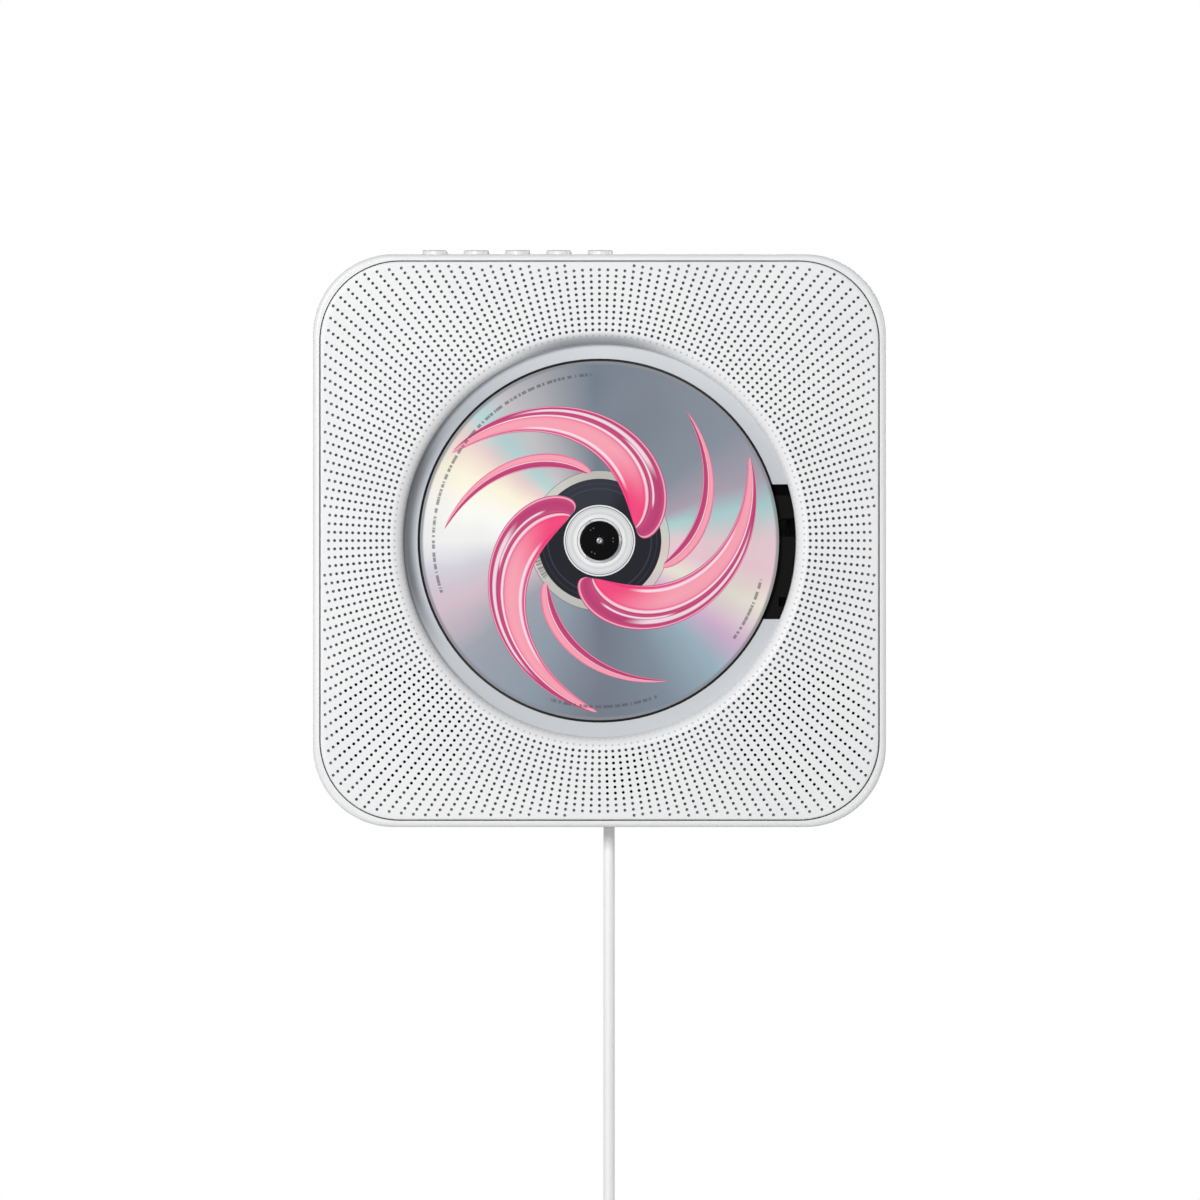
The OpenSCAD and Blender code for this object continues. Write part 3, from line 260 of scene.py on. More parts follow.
class Finish:
    def __init__(self, name, owner=None):
        self.material = owner or bpy.data.materials.new(name)
        self.material.use_nodes = True
        self.tree = self.material.node_tree
        self.tree.nodes.clear()

    def node(self, kind, settings=None, sockets=None):
        node = self.tree.nodes.new(kind)
        for key, value in (settings or {}).items():
            if key == "stops":
                elements = node.color_ramp.elements
                elements[0].position, elements[0].color = value[0][0], (*value[0][1], 1)
                elements[1].position, elements[1].color = value[-1][0], (*value[-1][1], 1)
                for position, colour in value[1:-1]:
                    elements.new(position).color = (*colour, 1)
            else:
                setattr(node, key, value)
        for key, value in (sockets or {}).items():
            if isinstance(value, Reading):
                self.tree.links.new(value.socket, node.inputs[key])
            elif isinstance(value, tuple) and len(value) == 3 and len(node.inputs[key].default_value) == 4:
                node.inputs[key].default_value = (*value, 1)
            else:
                node.inputs[key].default_value = value
        return Made(self, node)

    def drawing(self):
        """The drawing's x, y and z in millimetres, at the point that is shaded."""
        point = self.node("ShaderNodeTexCoord")["Object"]
        parts = self.node("ShaderNodeSeparateXYZ", None, {0: point})
        return parts["X"] * 1000, parts["Z"] * 1000 + BRACKET_UP, parts["Y"] * -1000

    def noise(self, size_mm, detail=3.0, stretch=None):
        """Noise whose blotches are about size_mm across, from 0 to 1."""
        point = self.node("ShaderNodeTexCoord")["Object"]
        if stretch:
            stretched = self.node("ShaderNodeVectorMath", {"operation": "MULTIPLY"}, {0: point, 1: stretch})
            point = stretched["Vector"]
        sockets = {"Vector": point, "Scale": 1000.0 / size_mm, "Detail": detail}
        return self.node("ShaderNodeTexNoise", None, sockets)["Fac"]

    def mix(self, factor, first, second):
        """First where factor is 0, second where it is 1, as colours."""
        return self.node("ShaderNodeMix", {"data_type": "RGBA"}, {0: factor, 6: first, 7: second})[2]

    def mottled(self, darker, paler):
        """Two near tones in broad faint patches."""
        return self.mix(self.noise(38.0).rise(0.35, 0.65), darker, paler)

    def ramp(self, factor, stops):
        return self.node("ShaderNodeValToRGB", {"stops": stops}, {"Fac": factor})["Color"]

    def bump(self, height, distance_mm):
        return self.node("ShaderNodeBump", None, {"Height": height, "Distance": distance_mm * MM})["Normal"]

    def surface(self, **sockets):
        """Sockets of the Principled shader, named with _ for a space."""
        named = {key.replace("_", " "): value for key, value in sockets.items()}
        made = self.node("ShaderNodeBsdfPrincipled", None, named)
        self.node("ShaderNodeOutputMaterial", None, {"Surface": made["BSDF"]})
        return self.material

    def grained(self, colour, roughness, size_mm=0.35, depth_mm=0.006, spread=0.12, **more):
        """A surface whose gloss is broken up by a fine grain."""
        fine = self.noise(size_mm, detail=2.0)
        uneven = roughness + (fine - 0.5) * spread
        return self.surface(Base_Color=colour, Roughness=uneven, Normal=self.bump(fine, depth_mm), **more)


def polar(x, y):
    """Distance from the body's middle, the angle there, and that angle as a share of a turn."""
    angle = y.angle_to(x)
    return (x * x + y * y).root(), angle, (angle / (2 * math.pi) + 1).part()


print("finishes are written as sums from here on")

# %% [markdown]
# ## Moulded plastic
#
# Nearly all of this player is injection moulded plastic. Such a surface is never quite
# even: it has a fine spark eroded grain that breaks up the gloss, and broad faint changes
# of tone. Both are noise, one fine and one broad. One function serves every colour, so
# that all mouldings of the player look as if they came from one shop.


# %% Moulded plastic
def moulded(name, colour, roughness, grain_mm=0.35, grain=0.006, tone=0.03, shine=0.5):
    f = Finish(name)
    darker = tuple(c * (1 - tone) for c in colour)
    return f.grained(f.mottled(darker, colour), roughness, grain_mm, grain, Specular_IOR_Level=shine)


white_shell = moulded("white_shell", (0.87, 0.87, 0.872), 0.42)
bracket_white = moulded("bracket_white", (0.66, 0.66, 0.655), 0.5, grain_mm=0.5, grain=0.01)
white_inside = moulded("white_inside", (0.80, 0.80, 0.80), 0.55, grain_mm=0.6, grain=0.012)
black_shell = moulded("black_shell", (0.011, 0.011, 0.0105), 0.5, tone=0.25, shine=0.25)
black_gloss = moulded("black_gloss", (0.0025, 0.0025, 0.003), 0.16, grain_mm=0.15, grain=0.001, shine=0.05)
ivory_resin = moulded("ivory_resin", (0.72, 0.69, 0.60), 0.38)
red_slider = moulded("red_slider", (0.50, 0.05, 0.035), 0.4, tone=0.1)
print(white_shell.name, "and six more mouldings")

# %% [markdown]
# ## Metal, rubber, board and cloth
#
# Metal parts are small: a drawn or ground surface has long fine scratches, which are noise
# stretched along one axis. Rubber is matt with a coarse grain. A circuit board is lacquer
# over copper tracks, and the speakers hide behind an open black weave.


# %% Metal
def worked_metal(name, colour, roughness, scratch=(1.0, 1.0, 14.0)):
    f = Finish(name)
    lines = f.noise(1.6, detail=4.0, stretch=scratch)
    tone = tuple(c * 0.82 for c in colour)
    return f.surface(
        Base_Color=f.mix(lines, tone, colour),
        Metallic=1.0,
        Roughness=roughness + (lines - 0.5) * 0.16,
        Normal=f.bump(lines, 0.004),
    )


zinc_steel = worked_metal("zinc_steel", (0.47, 0.47, 0.46), 0.34)
ground_steel = worked_metal("ground_steel", (0.72, 0.72, 0.73), 0.14, scratch=(1.0, 14.0, 1.0))
ball_steel = worked_metal("ball_steel", (0.92, 0.92, 0.92), 0.22, scratch=(1.0, 1.0, 1.0))
shaft_steel = worked_metal("shaft_steel", (0.30, 0.30, 0.31), 0.22, scratch=(1.0, 1.0, 1.0))
magnet_grey = worked_metal("magnet_grey", (0.07, 0.07, 0.075), 0.55, scratch=(2.0, 2.0, 2.0))
print(zinc_steel.name, "and four more metals")


# %% Rubber, board, cloth, paper
def soft_rubber(name, colour, roughness=0.7):
    f = Finish(name)
    grain = f.noise(0.5, detail=4.0)
    return f.surface(
        Base_Color=f.mix(grain, tuple(c * 0.8 for c in colour), colour),
        Roughness=roughness + (grain - 0.5) * 0.2,
        Normal=f.bump(grain, 0.03),
    )


def lacquered_board():
    f = Finish("lacquered_board")
    x, y, _ = f.drawing()
    lines = ((x + y * 0.35) * 0.42).part().band(0.5, 0.1, 0.03)
    pads = f.noise(4.0, detail=0.0).rise(0.55, 0.6)
    colour = f.mix(lines * pads, (0.010, 0.075, 0.028), (0.035, 0.17, 0.06))
    return f.surface(Base_Color=colour, Roughness=0.3 - lines * 0.08, Normal=f.bump(lines * pads, 0.02))


def open_cloth():
    f = Finish("open_cloth")
    x, y, _ = f.drawing()
    weave = ((x * 9.0).sine() * (y * 9.0).sine() + 1) / 2
    return f.surface(
        Base_Color=f.mix(weave, (0.002, 0.002, 0.002), (0.012, 0.012, 0.012)),
        Roughness=0.9 - weave * 0.1,
        Normal=f.bump(weave, 0.08),
    )


black_rubber = soft_rubber("black_rubber", (0.022, 0.022, 0.022))
pale_rubber = soft_rubber("pale_rubber", (0.78, 0.78, 0.775), 0.5)
red_lead = soft_rubber("red_lead", (0.32, 0.02, 0.02), 0.4)
pressed_paper = soft_rubber("pressed_paper", (0.03, 0.03, 0.033), 0.8)
board_green = lacquered_board()
speaker_cloth = open_cloth()
print(board_green.name, speaker_cloth.name)

# %% [markdown]
# ## Building a piece
#
# Every new piece is a list of corners and a list of faces, drawn in millimetres. It then
# rides on the body of the solid that it belongs to, so that it moves with it, and hides that
# solid, which it is marked as standing for.


# %% One function for all new meshes
def build(name, corners, faces, materials, body, stands_for=(), picks=None, smooth=30):
    mesh = bpy.data.meshes.new(name)
    mesh.from_pydata([tuple(c) for c in corners], [], faces)
    for material in materials:
        mesh.materials.append(material)
    if picks:
        for face, pick in zip(mesh.polygons, picks):
            face.material_index = pick
    mesh.validate()
    for face in mesh.polygons:
        face.use_smooth = True
    piece = bpy.data.objects.new(name, mesh)
    bpy.context.scene.collection.objects.link(piece)
    mesh.set_sharp_from_angle(angle=math.radians(smooth))
    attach(piece, body)
    if stands_for:
        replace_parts(piece, *stands_for)
    return piece


def lathe(profile, steps=256, close=True, picks=None, place=facing(0, 0)):
    """Corners and faces of a profile of (radius, height), turned round the middle of the body
    or round the axis that place gives. An open profile gets a flat face at both ends."""
    corners = [place(r, 360 * k / steps, h) for k in range(steps) for r, h in profile]
    n = len(profile)
    spans = n if close else n - 1
    faces, chosen = [], []
    for k in range(steps):
        m = (k + 1) % steps
        for i in range(spans):
            j = (i + 1) % n
            faces.append((k * n + i, m * n + i, m * n + j, k * n + j))
            chosen.append(picks[i] if picks else 0)
    if not close:
        for i in (0, n - 1):
            faces.append(tuple(k * n + i for k in range(steps)))
            chosen.append(picks[min(i, spans - 1)] if picks else 0)
    return corners, faces, chosen


# %% [markdown]
# ## The lead
#
# A round white lead hangs straight out of the bottom edge. On this kind of player it also
# works the pull switch. It is about a metre and a half long, of which the picture shows
# the first twelve centimetres. The rest is wound into a tied coil of nine turns, three
# layers of three, below the camera's view, and the plug hangs from it. The route is a curve
# with a round section, which stays smooth however close one looks.

# %% The lead's route
DOWN = (-76, -88, -100, -112, -124, -136, -148, -160, -172, -184, -196, -208, -217, -225)
hanging = [(CORD_X, y, CORD_Z) for y in DOWN]
bend = [(2.8, -229.5, CORD_Z), (0.9, -234.0, CORD_Z), (-2.0, -237.2, CORD_Z), (-6.0, -238.7, CORD_Z)]
COIL = (3.0, -263.5)
layers = [(26.4, 22.0), (26.4, 18.2), (22.6, 18.2), (18.8, 18.2), (18.8, 22.0),
          (22.6, 22.0), (26.4, 25.8), (22.6, 25.8), (18.8, 25.8)]
TURN_STEPS, COIL_START = 20, 110


def coil_points():
    """Nine turns, each sliding into the next over its last quarter."""
    points = []
    for turn, (radius, depth) in enumerate(layers):
        after = layers[min(turn + 1, len(layers) - 1)]
        for step in range(1, TURN_STEPS + 1):
            share = step / TURN_STEPS
            slide = max(0.0, (share - 0.75) / 0.25)
            slide = slide * slide * (3 - 2 * slide)
            a = math.radians(COIL_START + 360 * share)
            r = radius + (after[0] - radius) * slide
            z = depth + (after[1] - depth) * slide
            points.append((COIL[0] + r * math.cos(a), COIL[1] + r * math.sin(a), z))
    return points


tail = [(-7.2, -247.4, 27.2), (-11.0, -250.8, 28.9), (-15.5, -254.6, 29.7), (-19.5, -260.0, 29.8),
        (-22.5, -267.0, 29.8), (-24.0, -275.0, 29.8), (-24.0, -284.0, 29.8)]
route = [at(*p) for p in hanging + bend + coil_points() + tail]
length = sum((b - a).length for a, b in zip(route, route[1:]))
print(len(route), "points,", round(length, 3), "m of lead")


# %% Smooth white lead
def lead_rubber():
    f = Finish("lead_rubber")
    colour = f.mix(f.noise(16.0), (0.88, 0.88, 0.88), (0.94, 0.94, 0.94))
    return f.grained(colour, 0.36, size_mm=0.4, spread=0.1)


white_lead = lead_rubber()
curve = bpy.data.curves.new("pull_lead", "CURVE")
curve.dimensions = "3D"
curve.bevel_depth = CORD_D / 2 * MM
curve.bevel_resolution = 6
curve.resolution_u = 4
spline = curve.splines.new("NURBS")
spline.points.add(len(route) - 1)
for point, place in zip(spline.points, route):
    point.co = (*place, 1)
spline.order_u = 4
spline.use_endpoint_u = True
curve.materials.append(white_lead)
lead = bpy.data.objects.new("pull_lead", curve)
bpy.context.scene.collection.objects.link(lead)
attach(lead, "pull_switch")
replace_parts(lead, "cord", "cord_coil")
print("lead", round(CORD_D, 1), "mm across")

# %% [markdown]
# ## Tie and plug
#
# The coil is held by a woven strap, which lies round the bundle as a rounded square. The
# plug is a flat moulded grip with finger ribs, a tapered relief towards the lead, and a
# folded metal shell with its two windows.


# %% Strap round the coil
STRAP_HALF, STRAP_MIDDLE, STRAP_STEPS, STRAP_ALONG = 5.7, 22.6, 28, 9


def strap_ring(out):
    """The strap's rounded square section round the bundle."""
    ring = []
    for k in range(STRAP_STEPS):
        a = 2 * math.pi * k / STRAP_STEPS
        c, s = math.cos(a), math.sin(a)
        reach = (STRAP_HALF + out) * (abs(c) ** 5 + abs(s) ** 5) ** (-1 / 5)
        ring.append((reach * c, reach * s))
    return ring


def strap(name, start, end, thick, material):
    corners, faces, steps = [], [], STRAP_STEPS
    for layer in (0.12, thick):
        for i in range(STRAP_ALONG):
            share = i / (STRAP_ALONG - 1)
            puff = 0.10 * math.sin(math.pi * share)
            for u, v in strap_ring(layer + puff):
                corners.append(facing(*COIL)(STRAP_MIDDLE + u, start + (end - start) * share, CORD_Z + v))
    n = STRAP_ALONG * steps
    for k in range(steps):
        m = (k + 1) % steps
        for i in range(STRAP_ALONG - 1):
            inner = (i * steps + k, i * steps + m, (i + 1) * steps + m, (i + 1) * steps + k)
            faces += [inner, tuple(n + c for c in reversed(inner))]
        for i in (0, STRAP_ALONG - 1):
            faces.append((i * steps + k, i * steps + m, n + i * steps + m, n + i * steps + k))
    return build(name, corners, faces, [material], "pull_switch", ["coil_tie"], smooth=50)


def woven_strap():
    f = Finish("woven_strap")
    x, y, z = f.drawing()
    rib = ((x * 0.6 + y) * 8.0).sine() * (z * 8.0).sine()
    return f.surface(
        Base_Color=f.mix(rib.rise(-1, 1), (0.010, 0.010, 0.011), (0.035, 0.035, 0.038)),
        Roughness=0.85 + rib * 0.05,
        Normal=f.bump(rib, 0.12),
    )


tie = strap("coil_strap", 116, 136, 0.75, woven_strap())
print("strap", len(tie.data.polygons), "faces")


# %% Plug grip with ribs
def rounded_loop(w, h, r, per_corner=6):
    """A rounded rectangle round the origin, anticlockwise."""
    loop = []
    for q, (sx, sy) in enumerate(((1, 1), (-1, 1), (-1, -1), (1, -1))):
        for k in range(per_corner):
            a = math.radians(q * 90 + 90 * k / (per_corner - 1))
            loop.append((sx * (w / 2 - r) + r * math.cos(a), sy * (h / 2 - r) + r * math.sin(a)))
    return loop


def lofted(sections):
    """A closed skin through equal loops: each section is a list of points."""
    n = len(sections[0])
    corners = [p for s in sections for p in s]
    faces = [tuple(reversed(range(n)))]
    for i in range(len(sections) - 1):
        for k in range(n):
            m = (k + 1) % n
            faces.append((i * n + k, i * n + m, (i + 1) * n + m, (i + 1) * n + k))
    faces.append(tuple(range((len(sections) - 1) * n, len(sections) * n)))
    return corners, faces


PLUG_X, PLUG_TOP, PLUG_Z = -24.0, -284.0, 29.8
PLUG_W, PLUG_H, PLUG_R = 15, 8, 2.0


def plug_section(down, w, h, r):
    return [at(PLUG_X + u, PLUG_TOP - down, PLUG_Z + v) for u, v in rounded_loop(w, h, r)]


def grip_section(down, inset):
    return plug_section(down, PLUG_W - 2 * inset, PLUG_H - 2 * inset, PLUG_R)


sections = []
for k in range(9):
    t = k / 8
    rib = 0.35 * (1 - abs(math.cos(math.pi * t * 4)))
    w = 4.4 + 2.4 * t - rib
    sections.append(plug_section(12 * t, w, w, w / 2 - 0.01))
body = [(12, 1.6), (12.4, 0.7), (13.2, 0.15), (14.2, 0.0)]
body += [(17 + 11 * k / 24, 0.28 * (1 - abs(math.cos(math.pi * k / 4)))) for k in range(25)]
body += [(29, 0.0), (32.6, 0.0), (33.5, 0.25), (34.0, 0.9)]
sections += [grip_section(down, inset) for down, inset in body]
corners, faces = lofted(sections)
grip = build("plug_grip", corners, faces, [white_shell], "pull_switch", ["plug"],
             smooth=60)
print("grip", len(faces), "faces")


# %% Plug shell: a folded box with two windows and a tongue
def box_faces(corners, faces, lo, hi):
    """Adds a plain box between two corners of the drawing."""
    s = len(corners)
    for x in (lo[0], hi[0]):
        for y in (lo[1], hi[1]):
            for z in (lo[2], hi[2]):
                corners.append(at(x, y, z))
    for quad in ((0, 1, 3, 2), (4, 6, 7, 5), (0, 4, 5, 1), (2, 3, 7, 6), (0, 2, 6, 4), (1, 5, 7, 3)):
        faces.append(tuple(s + q for q in quad))


corners, faces = [], []
TIN = 0.35
top, bottom = PLUG_TOP - 34, PLUG_TOP - 46
window_low, window_top = bottom + 4.2, bottom + 6.8
x0, x1 = PLUG_X - 6, PLUG_X + 6
z0, z1 = PLUG_Z - 2.25, PLUG_Z + 2.25
for face_z in (z0, z1 - TIN):
    for lo_x, hi_x, lo_y, hi_y in (
        (x0, x1, bottom, window_low), (x0, x1, window_top, top), (x0, x0 + 2.2, window_low, window_top),
        (x0 + 4.7, x1 - 4.7, window_low, window_top), (x1 - 2.2, x1, window_low, window_top),
    ):
        box_faces(corners, faces, (lo_x, lo_y, face_z), (hi_x, hi_y, face_z + TIN))
for lo_x in (x0, x1 - TIN):
    box_faces(corners, faces, (lo_x, bottom, z0), (lo_x + TIN, top, z1))
picks = [0] * len(faces)
box_faces(corners, faces, (x0 + 0.5, bottom + 0.4, z0 + 0.4), (x1 - 0.5, top, z0 + 2.1))
picks += [1] * 6
shell = build("plug_sleeve", corners, faces, [zinc_steel, white_inside], "pull_switch",
              ["plug_shell"], picks=picks)
at(3.2, -95.5, 22)
print("sleeve", len(faces), "faces")

# %% [markdown]
# ## Flat sheets and the walls between them
#
# The front, the cover, the bracket and the screws' heads are flat sheets with openings. One
# call triangulates a sheet from its outline and the rims of its openings, and leaves out the
# triangles that fall inside an opening. Walls then join the rims of one sheet to those of
# the next, so the corners are shared and nothing gapes.

# %% Loops
def round_points(cx, cy, r, n, start=0.0):
    turns = [start + 2 * math.pi * k / n for k in range(n)]
    return [(cx + r * math.cos(a), cy + r * math.sin(a)) for a in turns]


def moved(loop, x, y, degrees=0.0):
    c, s = math.cos(math.radians(degrees)), math.sin(math.radians(degrees))
    return [(u * c - v * s + x, u * s + v * c + y) for u, v in loop]


def encloses(loop, q):
    """Whether point q lies inside the loop: a line from it crosses the loop an odd number of times."""
    odd = False
    for (ax, ay), (bx, by) in zip(loop, loop[1:] + loop[:1]):
        if (ay > q[1]) != (by > q[1]) and q[0] < (bx - ax) * (q[1] - ay) / (by - ay) + ax:
            odd = not odd
    return odd


def triangulated(loops):
    """Points, triangles and, for each loop, the numbers of its points."""
    flat, joins, starts = [], [], []
    for loop in loops:
        starts.append(len(flat))
        joins.extend((len(flat) + k, len(flat) + (k + 1) % len(loop)) for k in range(len(loop)))
        flat.extend(Vector(q) for q in loop)
    found, _, cut, origin, _, _ = delaunay_2d_cdt(flat, joins, [], 0, 1e-5, True)
    number = {old: new for new, olds in enumerate(origin) for old in olds}
    return found, cut, [[number[s + k] for k in range(len(loop))] for s, loop in zip(starts, loops)]


def middle_of(found, triangle):
    return [sum(found[c][i] for c in triangle) / 3 for i in (0, 1)]


print("inside a ring:", encloses(round_points(0, 0, 5, 24), (1, 1)))

# %% Sheets and walls
corners, faces, picks = [], [], []


def sheet(outer, openings, z, flip=False):
    """Adds the flat sheet at height z. Gives the corners' numbers for each loop."""
    found, cut, rims = triangulated([outer] + openings)
    rim_of = {c: i for i, rim in enumerate(rims) if i for c in rim}
    base = len(corners)
    corners.extend(at(q[0], q[1], z) for q in found)
    for t in cut:
        on = {rim_of.get(c, 0) for c in t}
        if len(on) == 1 and 0 not in on and encloses(openings[on.pop() - 1], middle_of(found, t)):
            continue
        faces.append(tuple(base + c for c in (reversed(t) if flip else t)))
    return [[base + c for c in rim] for rim in rims]


def loop_at(loop, z):
    corners.extend(at(x, y, z) for x, y in loop)
    return list(range(len(corners) - len(loop), len(corners)))


def walls(*loops, open_at=None):
    """Joins each loop to the next, except at the steps that open_at picks."""
    for one, two in zip(loops, loops[1:]):
        for k in range(len(one)):
            m = (k + 1) % len(one)
            if not (open_at and open_at(k)):
                faces.append((one[k], one[m], two[m], two[k]))


def paint(number):
    """Gives the faces made since the last call this material."""
    picks.extend([number] * (len(faces) - len(picks)))


def cleaned(piece, turn_out=True):
    """Takes away corners that no face uses, and turns every face outwards."""
    clean = bmesh.new()
    clean.from_mesh(piece.data)
    bmesh.ops.delete(clean, geom=[v for v in clean.verts if not v.link_faces], context="VERTS")
    if turn_out:
        bmesh.ops.recalc_face_normals(clean, faces=clean.faces[:])
    clean.to_mesh(piece.data)
    clean.free()
    return piece


ring = sheet(round_points(0, 0, 2, 24), [round_points(0, 0, 1, 24)], 0)
print("a washer's sheet has", len(faces), "triangles and", len(ring), "rims")

# %% [markdown]
# ## The perforated front
#
# The front panel is one moulding. Two hundred rays of holes spread from the well, a hole
# every two millimetres, and stop just inside the panel's rounded outline. Over the two
# speakers and the infrared receiver the holes go right through. Elsewhere they are blind,
# as they only carry the pattern on. A solid with three thousand holes is too heavy, so the
# construction model has holes at the speakers only, and this mesh stands for the panel.
#
# The face is one sheet, cut by the well's circle and by every hole's rim. The back is a
# second one, with the open holes only. Walls and blind floors hang from the same rims.

# %% Where the holes are
RAYS, ROW_PITCH, HOLE_R, HOLE_SIDES = 200, 2.0, 0.52, 10
FIRST_ROW = SHOULDER_OUT + 0.6
BLIND = 0.95
WINDOW = (1.3, 16.3, -85, -71)


def inside_panel(x, y, margin):
    half, corner = PANEL_HALF - margin, PANEL_CORNER - margin
    dx, dy = abs(x) - (half - corner), abs(y) - (half - corner)
    if dx > 0 and dy > 0:
        return math.hypot(dx, dy) < corner
    return abs(x) < half and abs(y) < half


def goes_through(x, y):
    over_speaker = math.hypot(abs(x) - SPEAKER[0], y - SPEAKER[1]) < SPEAKER[2] - 0.9
    over_receiver = WINDOW[0] < x < WINDOW[1] and WINDOW[2] < y < WINDOW[3]
    return over_speaker or over_receiver


holes = []
for ray in range(RAYS):
    a = 2 * math.pi * ray / RAYS
    for row in range(30):
        r = FIRST_ROW + row * ROW_PITCH
        x, y = r * math.cos(a), r * math.sin(a)
        if inside_panel(x, y, 1.4):
            holes.append((x, y, goes_through(x, y)))
print(len(holes), "holes,", sum(h[2] for h in holes), "of them right through")

# %% The face and the back
corners, faces, picks = [], [], []
WELL_STEPS, EDGE, RING_WALL = 400, 0.6, 1.8
PANEL, WALL, FLOOR = 0, 1, 2


def grown(inset):
    return rounded_loop(2 * (PANEL_HALF - inset), 2 * (PANEL_HALF - inset), PANEL_CORNER - inset, 25)


def circle(r):
    return round_points(0, 0, r, WELL_STEPS)


def rims_of(chosen):
    return [round_points(x, y, HOLE_R, HOLE_SIDES, math.atan2(y, x)) for x, y, _ in chosen]


through = [h for h in holes if h[2]]
face = sheet(grown(EDGE), [circle(SHOULDER_OUT)] + rims_of(holes), FACE_Z)
back = sheet(grown(0), [circle(WELL_R + RING_WALL)] + rims_of(through), PANEL_Z, flip=True)
paint(PANEL)
print("face and back:", len(faces), "triangles")

# %% Walls, blind floors, the edge and the rolled shoulder
back_rims = iter(back[2:])
for rim, (_, _, is_through) in zip(face[2:], holes):
    if is_through:
        low = next(back_rims)
    else:
        low = list(range(len(corners), len(corners) + HOLE_SIDES))
        corners.extend(corners[k] + Vector((0, BLIND * MM, 0)) for k in rim)
        faces.append(tuple(low))
        paint(FLOOR)
    walls(low, rim)
    paint(WALL)
edge = ((0, 0.6), (0.03, 0.38), (0.14, 0.18), (0.34, 0.05))
rolls = [(grown(inset), FACE_Z - down) for inset, down in edge]
walls(back[0], *[loop_at(*level) for level in rolls], face[0])
rolls = [(circle(WELL_R + RING_WALL), LEDGE_Z), (circle(WELL_R), LEDGE_Z)]
for degrees in range(90, 0, -5):
    a = math.radians(degrees)
    rolls.append((circle(SHOULDER_OUT - SHOULDER * math.sin(a)), FACE_Z - SHOULDER * (1 - math.cos(a))))
walls(back[1], *[loop_at(*level) for level in rolls], face[1])
paint(PANEL)
print(len(corners), "corners so far")

# %% [markdown]
# The panel also has four long posts for the cover's screws, inside the shell. They are
# inside, but someone who hides the shell will look for them.

# %% Posts behind the panel
POSTS = [(-79.0, 79.0), (79.0, 79.0), (-38.0, -87.0), (38.0, -87.0)]
for px, py in POSTS:
    tube = ((3.2, PANEL_Z), (3.2, 3.6), (1.6, 3.6), (1.6, 13.0))
    walls(*[loop_at(round_points(px, py, r, 32), z) for r, z in tube])
paint(PANEL)
print(len(POSTS), "posts")

# %% [markdown]
# ## The panel's finish
#
# The same satin white plastic as the shell. Two more rows of holes run down the rolled
# shoulder, where the tool could only mark them: the outer row is faint and the inner one
# hardly there. Those are drawn by arithmetic, as shallow dents whose grey is painted shade.
# The angle round the well, cut into two hundred equal parts, and the radius give the
# distance to the nearest mark. The top of the rolled shoulder is painted darker as shade,
# and the panel's edge just below the face is painted grey as the shade in its gap.


# %% Panel plastic with its marks on the shoulder
def panel_plastic():
    f = Finish("panel_plastic")
    x, y, z = f.drawing()
    radius, angle, turn = polar(x, y)
    off_ray = (angle / (2 * math.pi) * RAYS + 0.5).part() - 0.5
    across = off_ray * radius * (2 * math.pi / RAYS)

    def row(r, size, depth):
        away = ((radius - r) ** 2 + across * across).root()
        return away.rise(size + 0.22, size - 0.1) * depth

    # The marks are shallow dents whose grey is painted shade.
    dimples_and_shade = row(68.35, 0.30, 0.55) + row(66.35, 0.26, 0.16)
    fine = f.noise(0.35, detail=2.0)
    plain = f.mottled((0.845, 0.847, 0.85), (0.87, 0.87, 0.872))
    rolled = radius.rise(SHOULDER_OUT + 0.4, WELL_R + 1.6) * z.rise(PANEL_Z - 3.5, PANEL_Z - 3)
    # Painted shade on the top of the rolled shoulder.
    top_painted_shade = turn.band(0.255, 0.02, 0.065) * 0.68
    plain = f.mix(rolled * top_painted_shade, plain, (0.165, 0.19, 0.22))
    near_edge = abs(x).most(abs(y)).rise(PANEL_HALF - 20.0, PANEL_HALF - 19.0)
    # Painted shade: the edge just below the face is grey, for the gap to the frame.
    edge_gap_shade = z.rise(FACE_Z - 0.1, FACE_Z - 0.5) * near_edge
    plain = f.mix(edge_gap_shade, plain, (0.23, 0.235, 0.24))
    return f.surface(
        Base_Color=f.mix(dimples_and_shade, plain, (0.30, 0.31, 0.33)),
        Roughness=0.44 + (fine - 0.5) * 0.12,
        Normal=f.bump(fine - dimples_and_shade * 3, 0.01),
    )


def hole_wall():
    f = Finish("hole_wall")
    _, _, z = f.drawing()
    # The wall is painted darker with depth, as the shade in the hole.
    deep = z.rise(FACE_Z, FACE_Z - 0.5)
    return f.surface(
        Base_Color=f.mix(deep, (0.60, 0.61, 0.62), (0.20, 0.20, 0.21)),
        Roughness=0.6 + deep * 0.1,
    )


# %% [markdown]
# A blind hole's floor is painted dark grey as the shade in the hole, and reads as a grey dot.
# Near the panel's edge the shelf behind it lets more light back, so the outermost rows are
# painted paler as that light. The floor's painted tone follows the distance to the panel's
# edge, which for a square is simply the larger of the two coordinates.


# %% Floors of the blind holes
def hole_floor():
    f = Finish("hole_floor")
    x, y, _ = f.drawing()
    edge = abs(x).most(abs(y))
    # Painted light: the floors are paler near the panel's edge; their grey is painted shade.
    near_edge = edge.rise(PANEL_HALF - 6.5, PANEL_HALF - 2.0)
    mottle = f.noise(9.0)
    grey = f.mix(near_edge, (0.11, 0.11, 0.113), (0.34, 0.34, 0.35))
    return f.surface(
        Base_Color=f.mix(mottle.rise(0.3, 0.7) * 0.35, grey, (0.05, 0.05, 0.05)),
        Roughness=0.8 + (mottle - 0.5) * 0.1,
    )


